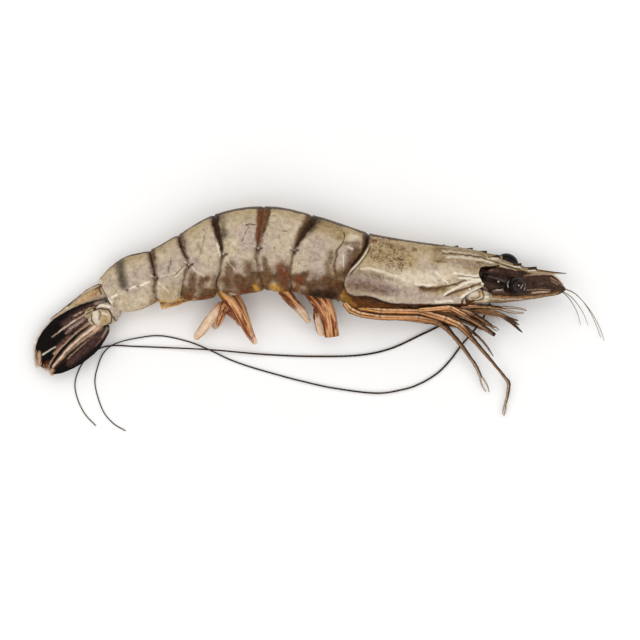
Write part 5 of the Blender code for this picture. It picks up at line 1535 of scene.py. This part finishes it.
def make_head():
    """The dark limbs that fill the front of the head: a core between the sides, and on each side the
    antenna's base with its blade, and the stalk of the short feelers."""
    core = skin(*leaf(HEAD_CORE, HEAD_CORE_PAINT, count=120, seed=122, rough=0.4))
    make_piece("head_core_skin", [core], [BLADE])
    for side, sign in (("right", 1), ("left", -1)):
        grid, masks = make_scale(sign)
        hairs = fringe(grid, 0.35, 0.98, 0, 150, 1.0, 0.9, 123 + sign)
        make_piece(f"antenna_scale_{side}_skin", [skin(grid, masks), hairs], [BLADE, HAIR])
        stalk = headside(ANTENNULE, sign)
        stalk = skin(*leaf(stalk, ANTENNULE_PAINT, sides=80, seed=125, rough=0.2))
        make_piece(f"antennule_{side}_skin", [stalk], [BLADE])
        base = headside(ANTENNA_BASE, sign)
        base = skin(*leaf(base, ANTENNA_BASE_PAINT, count=110, sides=90, seed=127, rough=0.15))
        make_piece(f"antenna_base_{side}_skin", [base], [KNOB])


EYES = {"right": ((58.6, -6.4, 12.6), (70.6, -10.1, 15.2)), "left": ((58.9, -4.2, 4.6), (68.8, -0.9, 3.6))}
EYE_RADIUS = 3.2
STALK_RADIUS = 1.6
# The far eye is pressed, so it is longer than wide, along this way in the plan.
FAR_EYE_STRETCH = 0.25
FAR_EYE_WAY = np.array((0.88, -0.47, 0.0))
EYE_PAINT = (
    ("cream", 0.6, 0.14, 0.14, (67.6, -8.2, 67.3, -9.4, 67.6, -10.6), 0.25),
    ("cream", 0.55, 0.16, 0.16, (73.5, -8.8, 73.8, -10.2, 73.4, -11.8)),
    ("mauve", 0.45, 0.2, 0.2, ring_line(70.9, -10.1, 1.9, 9)),
    ("mauve", 0.45, 0.2, 0.2, ring_line(70.7, -10.3, 1.0, 7)),
    # a painted glint on the ball
    ("cream", 1, 0.22, 0.22, (70.8, -9.8)),
    ("cream", 0.5, 0.25, 0.2, (71.8, -10.8, 72.4, -9.8)),
    ("mauve", 0.8, 0.3, 0.3, (60, -6.6, 63.8, -7.4, 66.4, -8.4), 0.3),
    # a painted glint on the stalk
    ("cream", 1, 0.25, 0.25, (64, -8.3)),
    ("blade", 0.8, 1, 0.8, (59, -8, 66, -10.6)),
    (None, 0, 0.25, 0.25, ring_line(70.9, -10.1, 1.45), -0.12),
    (None, 0, 0.25, 0.25, ring_line(70.9, -10.1, 2.35), -0.1),
    (None, 0, 0.4, 0.4, (61, -8.2, 66, -9.6), -0.3),
)


def make_eyes():
    """Each eye is turned about its stalk's line. The stalk swells to a cup, and the ball is ringed."""
    neck = math.asin(STALK_RADIUS / EYE_RADIUS)
    share = np.linspace(0, 1, 40)
    faces = np.linspace(math.pi - neck, 0.02, 60)
    stalk = STALK_RADIUS * (0.75 + 0.25 * share + 0.12 * np.sin(7 * share))
    radius = np.concatenate([stalk, EYE_RADIUS * np.sin(faces)])[:, None, None]
    turn = turns(96)[:, None]
    for side, ends in EYES.items():
        root, ball = np.array(ends)
        line = unit(ball - root)
        length = np.linalg.norm(ball - root)
        stem = share * (length - EYE_RADIUS * math.cos(neck))
        along = np.concatenate([stem, length + EYE_RADIUS * np.cos(faces)])[:, None, None]
        first = unit(np.cross(line, UP))
        second = np.cross(first, line)
        grid = root + line * along + radius * (np.cos(turn) * first + np.sin(turn) * second)
        if side == "left":
            grid = grid + FAR_EYE_STRETCH * ((grid - ball) @ FAR_EYE_WAY)[..., None] * FAR_EYE_WAY
        grid = raised(grid, relief(grid[..., 0], grid[..., 1], EYE_PAINT) * (radius[..., 0] > 0.8))
        masks = paint(grid[..., 0], grid[..., 1], EYE_PAINT)
        make_piece(f"eye_{side}_skin", [skin(rested(grid), masks)], [EYE])


LEGS = {
    # joints as rows of x, y, z and radius, from the body to the tip
    "leg_right_5": (
        (7.6, -15.8, 12.8, 1.1), (9.6, -18.6, 12.6, 1.3), (13.4, -20.3, 12.8, 1.2),
        (20.5, -21.4, 12.4, 1.1), (34.8, -21.6, 11.2, 1.15), (42.1, -23.2, 9.4, 1.05),
        (45.8, -25.6, 8.4, 0.95), (51.5, -32.2, 5.6, 0.75), (56.9, -39.6, 3, 0.65), (59, -44.2, 2.2, 0.62),
    ),
    "leg_right_4": (
        (12.6, -17.9, 13.8, 0.8), (21, -19, 14.4, 1.1), (35.5, -19.3, 13.2, 1.15),
        (44.6, -21.9, 11.6, 1.35), (50, -24.2, 10, 1.3), (55.4, -29.7, 7.8, 0.85), (61.6, -36.7, 5.6, 0.6),
        (66.6, -42.6, 3.8, 0.55), (69.3, -45.9, 2.8, 0.72), (69, -49.4, 2.2, 0.62), (68.1, -54, 1.6, 0.5),
    ),
    "leg_left_5": (
        (9.2, -18.2, 6.4, 0.9), (20, -20.8, 6.2, 0.95), (34.4, -22.4, 6.8, 0.9), (41.8, -23.6, 6.8, 0.85),
        (49.4, -24.6, 6.4, 0.7), (55.8, -27.1, 5.2, 0.5), (59.6, -30.6, 3.2, 0.42),
        (61.8, -33.4, 2.2, 0.34), (63.6, -36.2, 1.4, 0.2),
    ),
    "leg_left_4": (
        (21, -19.6, 8.8, 0.9), (34, -20, 8.8, 0.85), (43, -22, 8.9, 0.8), (49, -23.2, 8.5, 0.7),
        (53.4, -25.4, 7.2, 0.55), (56.8, -28.6, 5.9, 0.3),
    ),
    "leg_right_3": (
        (34.4, -18.8, 15.4, 0.8), (46.4, -17.8, 14.6, 0.95), (52, -20.8, 12.6, 1), (57, -23.7, 10.4, 1),
        (61, -26.4, 8.6, 0.85), (63.3, -28, 7.4, 0.8),
    ),
    "leg_left_3": (
        (34, -19, 4.4, 0.8), (44, -19.8, 3.8, 0.8), (51, -22.2, 2.6, 0.7), (57, -24.8, 1.7, 0.6),
        (61.5, -26.6, 1.1, 0.3),
    ),
    "leg_right_2": (
        (43, -18.9, 12, 0.7), (50.4, -18.7, 11.2, 0.8), (55.6, -20.5, 9.9, 0.8), (59.6, -22.9, 8.5, 0.72),
        (62.6, -24.9, 7, 0.6),
    ),
    "leg_left_2": (
        (41.6, -19.2, 6.2, 0.75), (48, -19.5, 5.6, 0.75), (54.6, -21.6, 4.3, 0.7), (60, -23.6, 3, 0.6),
        (64.4, -25.4, 1.9, 0.3),
    ),
    "leg_right_1": (
        (44.4, -17.5, 12.4, 0.6), (52.8, -17.3, 12, 0.72), (60, -17.4, 11.4, 0.8), (66, -18.2, 10.2, 0.74),
    ),
    "leg_left_1": (
        (50, -19, 3.4, 0.65), (56, -19.2, 3, 0.65), (62, -20, 2.4, 0.6), (68, -21.2, 1.8, 0.5),
        (73, -22.8, 1.2, 0.3),
    ),
    "maxilliped_right": (
        (54, -18.6, 11.2, 0.7), (60.2, -18.9, 10.9, 0.8), (65.6, -20.6, 9.7, 0.8), (69.4, -23, 8.4, 0.75),
        (71.4, -25, 7.6, 0.5), (73.9, -27.2, 6.2, 0.25),
    ),
    "maxilliped_left": (
        (56, -18.8, 5, 0.7), (63, -19.6, 4.2, 0.7), (68.8, -21.6, 3.4, 0.55), (73.2, -24.4, 2.6, 0.25),
    ),
}
# Two fingers at a leg's end: how far they reach, how far they open, and their radius at the root.
FINGERS = {
    "leg_right_5": (6.8, 0.75, 0.34), "leg_right_4": (5.2, 0.35, 0.34), "leg_right_1": (10, 0.75, 0.5),
    "leg_right_2": (3.8, 0.45, 0.34),
}
LEG_SIDES = 30
# Legs longer than this have pale ends.
LONG_LEG = 45.0
CUT_LEGS = ("leg_right_3",)
DARK_LEGS = ("maxilliped_right", "maxilliped_left")


def limb_route(rows, per_mm=3.2, bend=1.1):
    """Evenly spaced points along a limb's straight runs, with corners rounded by averaging over the bend.
    Returns the points with their radii, each one's distance to the nearest joint, and the length."""
    rows = np.array(rows, float)
    steps = np.linalg.norm(np.diff(rows[:, :3], axis=0), axis=1)
    marks = np.concatenate([[0], np.cumsum(steps)])
    length = marks[-1]
    at = np.linspace(0, length, int(length * per_mm) + 2)
    around = np.clip(at + np.linspace(-bend, bend, 9)[:, None], 0, length)
    data = np.stack([np.interp(around, marks, rows[:, k]).mean(axis=0) for k in range(4)], axis=-1)
    data[0], data[-1] = rows[0], rows[-1]
    return data, np.abs(at[:, None] - marks[None, 1:-1]).min(axis=1), length


def limb(rows, seed, dark=False, cut=False):
    """A jointed leg: an oval tube that is thinnest in the middle of each run and swells at each joint,
    where a groove goes round. A keel runs along its upper side."""
    data, off, length = limb_route(rows)
    count = len(data)
    waist = 1 + 0.1 * hump(off, 1.3) - 0.1 * hump(off, 0.35)
    ends = round_ends(count, 1.2 / length, 0.4)
    if cut:
        ends = np.maximum(ends, 0.9 * (np.linspace(0, 1, count) > 0.5))
    radius = data[:, 3] * waist * ends
    grid = tube(data[:, :3], radius, 0.85 * radius, LEG_SIDES)
    along = np.linspace(0, length, count)[:, None]
    across = np.cos(turns(LEG_SIDES)) + 0 * along
    keel = 0.1 * hump(across - 0.35, 0.25) - 0.08 * hump(across + 0.1, 0.2)
    uneven = 0.1 * clouds(along, 2.0 * across, 1.5, seed)
    grid = raised(grid, (keel + uneven) * data[:, 3:4] * ends[:, None])
    return grid, limb_masks(along, across, off[:, None], length, seed, dark, cut)


def limb_masks(along, across, off, length, seed, dark, cut):
    """A leg's masks, from how far along it skin is, and how far across, from -1 to 1: pale keels that are
    painted highlights, rust streaks, dark edges that are partly painted shade along the outline, grooves
    and joints, gold at its root, a brown outer half, and a long leg's pale end."""
    tone = clouds(along, 3 * across, 5.0, seed + 1)
    streak = clouds(along / 7.0, across / 0.5, 1.0, seed + 2)
    patches = clouds(along / 1.4, across, 1.0, seed + 3)
    outer = smooth(along / length, 0.45, 0.62)
    keels = 0.8 * hump(across - 0.35, 0.2) + 0.7 * hump(across + 0.5, 0.14)
    rusty = 0.85 * hump(across + 0.12, 0.3) + 0.7 * smooth(np.abs(across), 0.5, 0.75)
    root = 0.8 * smooth(-along, -6.5, -5.0) * smooth(patches, -0.3, 0.1)
    masks = {
        "olive_brown": 0.9 * outer,
        "tan": hump(across - 0.35, 0.36) * (1 - outer) + 0.45 * hump(across + 0.45, 0.25) * outer,
        # painted highlights along the keels
        "blush": keels * (1 - 0.8 * outer) * (0.8 + 0.4 * tone),
        "gold": 0.5 * smooth(streak, 0.1, 0.5) * (1 - outer) + root,
        "cream": 0.5 * hump(off - 0.9, 0.4) * hump(across - 0.35, 0.3),
        # dark along both sides: partly painted shade along the outline
        "band": 0.95 * smooth(across, 0.66, 0.86) + 0.9 * smooth(-across, 0.72, 0.9),
        "rust": rusty * smooth(streak, -0.6, 0.2),
    }
    lay(masks, "band", 0.85 * hump(across + 0.18 + 0.12 * tone, 0.12) * smooth(streak, -0.3, 0.3))
    lay(masks, "band", 0.95 * smooth(across, -0.15, 0.2) * outer)
    lay(masks, "band", 0.5 * hump(off, 0.3))
    if dark:
        lay(masks, "band", 0.7 + 0.3 * tone)
        masks["blush"] = 0.6 * masks["blush"]
    if cut:
        lay(masks, "band", smooth(along, length - 1.5, length - 1.0))
    if length > LONG_LEG:
        lay(masks, "cream", 0.3 * smooth(along, 0.72 * length, length))
    return masks


def fingers(name, before, end):
    """The pair of fingers at a leg's end: thin cones that bow out to either side of the leg's line and
    come back to it at their tips. The second one is a little shorter."""
    reach, gap, radius = FINGERS[name]
    count, sides = 30, 16
    way = unit(end - before) * np.array((1, 1, 0.5))
    share = np.linspace(0, 1, count)[:, None]
    bow = gap * (np.sin(math.pi * share * 0.8) + 0.4 * (1 - share)) * unit(np.cross(UP, way))
    thick = radius * (1 - 0.4 * share[:, 0]) * round_ends(count, 0.1, 0.5)
    across = np.cos(turns(sides))
    # A pale line along the top is a painted highlight; the dark sides are partly painted shade along the
    # outline.
    masks = {"olive_brown": 0.9, "cream": hump(across - 0.1, 0.3), "band": smooth(np.abs(across), 0.6, 0.9)}
    shells = []
    for side, length in ((1, reach), (-1, 0.9 * reach)):
        route = end - 0.6 * way + way * length * share + side * bow
        route[:, 2] = np.maximum(route[:, 2], radius + LOWEST_SKIN)
        shells.append(skin(tube(route, thick, thick, sides), masks))
    return shells


def make_legs():
    """Ten walking legs and two mouth legs. Some end in a pair of fingers, and one is cut off short."""
    for number, (name, rows) in enumerate(LEGS.items()):
        grid, masks = limb(rows, 140 + 2 * number, name in DARK_LEGS, name in CUT_LEGS)
        shells = [skin(rested(grid), masks)]
        if name in FINGERS:
            shells += fingers(name, *np.array(rows)[-2:, :3])
        if name == "maxilliped_right":
            shells.append(mouth_brush())
        make_piece(f"{name}_skin", shells, [LEG, HAIR])


def mouth_brush():
    """The rust-brown brush of bristles between the mouth legs."""
    rng = np.random.default_rng(171)
    count = 110
    roots = np.array((59.6, -18.8, 11.2)) + rng.uniform(-1, 1, (count, 3)) * (2.6, 0.6, 0.9)
    ways = np.array((0.9, -0.7, -0.15)) + rng.normal(0, 1, (count, 3)) * (0.12, 0.16, 0.12)
    lengths = rng.uniform(1.8, 4.6, count)
    return bristles(roots, ways, lengths, 0.1, (0, 0, -0.12), finish=1, masks={"rust": 0.75, "gold": 0.3})


# ---- feelers
FEELERS = {
    # diameters at the root and the tip, then the route as x, y, z
    "antenna_right": (
        0.86, 0.36,
        (
            (61.4, -16.4, 8.6), (61.2, -17.6, 7), (60.4, -19.6, 6.3), (59, -22.2, 5.5), (57.3, -24.8, 3.9),
            (55, -27.8, 2.2), (51.4, -32.2, 0.9), (47.3, -37.7, 0.64), (42.5, -42.5, 0.64),
            (36.2, -46.3, 0.64), (29.8, -48.5, 0.64), (19.6, -49.9, 0.62), (3.7, -48, 0.6),
            (-8.2, -45.4, 0.6), (-17, -43.1, 0.55), (-28, -39.9, 0.5), (-35.7, -37.1, 0.48),
            (-43.3, -33.5, 0.45), (-51, -30.5, 0.4), (-61, -28.4, 0.4), (-69.4, -29.1, 0.8),
            (-77.8, -31.2, 1.2), (-82.4, -34.6, 0.8), (-84.9, -40.2, 0.33), (-85.9, -45.5, 0.3),
            (-84.9, -51, 0.29), (-82.5, -57.2, 0.28), (-78.7, -61.5, 0.27), (-74.3, -64.1, 0.26),
        ),
    ),
    "antenna_left": (
        0.86, 0.36,
        (
            (57.9, -17.6, 2.4), (54.6, -19.4, 1.6), (49.4, -21.1, 0.75), (43.5, -24.6, 0.64),
            (36.7, -27.9, 0.64), (25, -33.2, 0.64), (12.9, -35.7, 0.64), (-4.1, -36.1, 0.62),
            (-20, -35.5, 0.6), (-30, -34.7, 1.15), (-40.7, -33.7, 1.5), (-50, -33.2, 1.3),
            (-59, -32.8, 0.6), (-70, -32.4, 0.42), (-79.5, -32.1, 0.38), (-84.9, -33.6, 0.36),
            (-89.6, -37.4, 0.34), (-92.3, -42.2, 0.32), (-93.4, -46.9, 0.3), (-92.3, -52.4, 0.29),
            (-89.6, -57.8, 0.28), (-85.5, -62.2, 0.27),
        ),
    ),
    "whisker_right_1": (
        0.42, 0.16,
        ((86.4, -10.2, 9.8), (91.7, -12, 9.4), (95, -14.4, 8), (98.3, -18.2, 5.8), (101.4, -23.4, 3.2),
         (103.8, -29, 1.2)),
    ),
    "whisker_right_2": (
        0.4, 0.16,
        ((86.4, -11.1, 9.3), (90.4, -13, 8.6), (93.6, -15.8, 7), (96.6, -19.8, 4.8), (99, -24.6, 2.4)),
    ),
    "whisker_left_1": (
        0.4, 0.16,
        ((86.4, -10.1, 8), (92.2, -12, 7.2), (96.4, -15.4, 5.2), (100.4, -20.2, 3), (103.4, -25.4, 1.4),
         (105.2, -30.2, 0.6)),
    ),
    "whisker_left_2": (
        0.4, 0.16,
        ((86.4, -11, 7.3), (90, -13.2, 6.4), (92.6, -16.2, 4.8), (94.8, -20, 3), (96.2, -24.2, 1.4)),
    ),
}


def make_feelers():
    """The two long antennae and four short whiskers: tubes of fine rings that taper along their route."""
    for number, (name, (first, last, route)) in enumerate(FEELERS.items()):
        count = len(route) * 36
        path = curve(route, count)
        share = np.linspace(0, 1, count)
        ringed = 1 + 0.05 * np.sin(np.arange(count) * math.pi / 2)
        radius = (first + (last - first) * share**0.8) / 2 * ringed * round_ends(count, 0.002, 0.5)
        path[:, 2] = np.maximum(path[:, 2], radius + LOWEST_SKIN)
        patchy = 0.4 * clouds(share * 60, 0 * share, 4.0, 180 + number)[:, None]
        if name.startswith("whisker"):
            masks = {"olive": 0.7 + patchy}
        else:
            masks = {"olive_brown": 0.4 + patchy, "band": 0.9 * smooth(-share, -0.4, -0.1)[:, None]}
        make_piece(f"{name}_skin", [skin(tube(path, radius, radius, 12), masks)], [FEELER])


# ---- studio
VIEW_WIDTH = 236.0
LENS = 90.0
SENSOR = 36.0
BOX_SIZE = 0.9
BOX_DISTANCE = 1.05
# Each soft box: its name, its turn about Z and its tilt from overhead in degrees, and its power in watts.
SOFT_BOXES = (
    ("soft box behind the back", 100, 34, 2.5),
    ("soft box at the tail", 190, 38, 1.5),
    ("soft box at the head", 10, 40, 1.6),
    ("soft box at the belly", 280, 38, 2.2),
)
SKY_SIDE = 11.0
SKY_TOP = 7.0
EXPOSURE = 0.22


def make_camera():
    """A camera that looks straight down on the middle of the prawn, far enough to take all of it in."""
    low, high = CAD_BOX
    middle = (low + high) / 2
    camera = bpy.data.cameras.new("camera")
    camera.lens = LENS
    camera.sensor_width = SENSOR
    eye = bpy.data.objects.new("camera", camera)
    eye.location = (middle.x, middle.y, VIEW_WIDTH * MM * LENS / SENSOR + high.z / 2)
    bpy.context.scene.collection.objects.link(eye)
    bpy.context.scene.camera = eye


def make_light(name, turn, tilt, power):
    """A square soft box aimed at the prawn. The turn is about Z from +X, the tilt is away from overhead."""
    light = bpy.data.lights.new(name, "AREA")
    light.shape = "SQUARE"
    light.size = BOX_SIZE
    light.energy = power
    away = Vector((math.sin(tilt) * math.cos(turn), math.sin(tilt) * math.sin(turn), math.cos(tilt)))
    lamp = bpy.data.objects.new(name, light)
    lamp.location = away * BOX_DISTANCE
    lamp.rotation_euler = away.to_track_quat("Z", "Y").to_euler()
    bpy.context.scene.collection.objects.link(lamp)


def make_sky():
    """An even sky that is darker straight overhead, so that wet dark skin stays dark."""
    world = bpy.data.worlds.new("sky")
    world.use_nodes = True
    tree = world.node_tree
    parts = put(tree, "SeparateXYZ", {"Vector": put(tree, "TexCoord").outputs["Generated"]})
    strength = between(tree, parts.outputs["Z"], 0.72, 0.97, SKY_SIDE, SKY_TOP)
    fill(tree, tree.nodes["Background"], {"Strength": strength})
    bpy.context.scene.world = world


def make_studio():
    """A pale table, a sky, and soft boxes around the prawn that leave the place overhead dark."""
    floor = bpy.data.meshes.new("table")
    signs = ((-1, -1), (1, -1), (1, 1), (-1, 1))
    corners = [(x * TABLE_HALF, y * TABLE_HALF, TABLE_HEIGHT) for x, y in signs]
    floor.from_pydata(corners, [], [(0, 1, 2, 3)])
    table = bpy.data.objects.new("table", floor)
    bpy.context.scene.collection.objects.link(table)
    material = bpy.data.materials.new("pale table")
    material.use_nodes = True
    tree = material.node_tree
    tone = mix(tree, noise(tree, 40.0, 2.0), srgb(246, 245, 243), srgb(250, 249, 248))
    finish = {"Base Color": tone, "Roughness": 0.9, "Specular IOR Level": 0.1}
    fill(tree, tree.nodes["Principled BSDF"], finish)
    floor.materials.append(material)

    make_sky()
    for name, turn, tilt, power in SOFT_BOXES:
        make_light(name, math.radians(turn), math.radians(tilt), power)
    bpy.context.scene.view_settings.view_transform = "Standard"
    bpy.context.scene.view_settings.exposure = EXPOSURE


make_camera()
make_studio()
make_abdomen()
make_carapace()
make_thorax()
make_tail()
make_pleopods()
make_head()
make_eyes()
make_legs()
make_feelers()
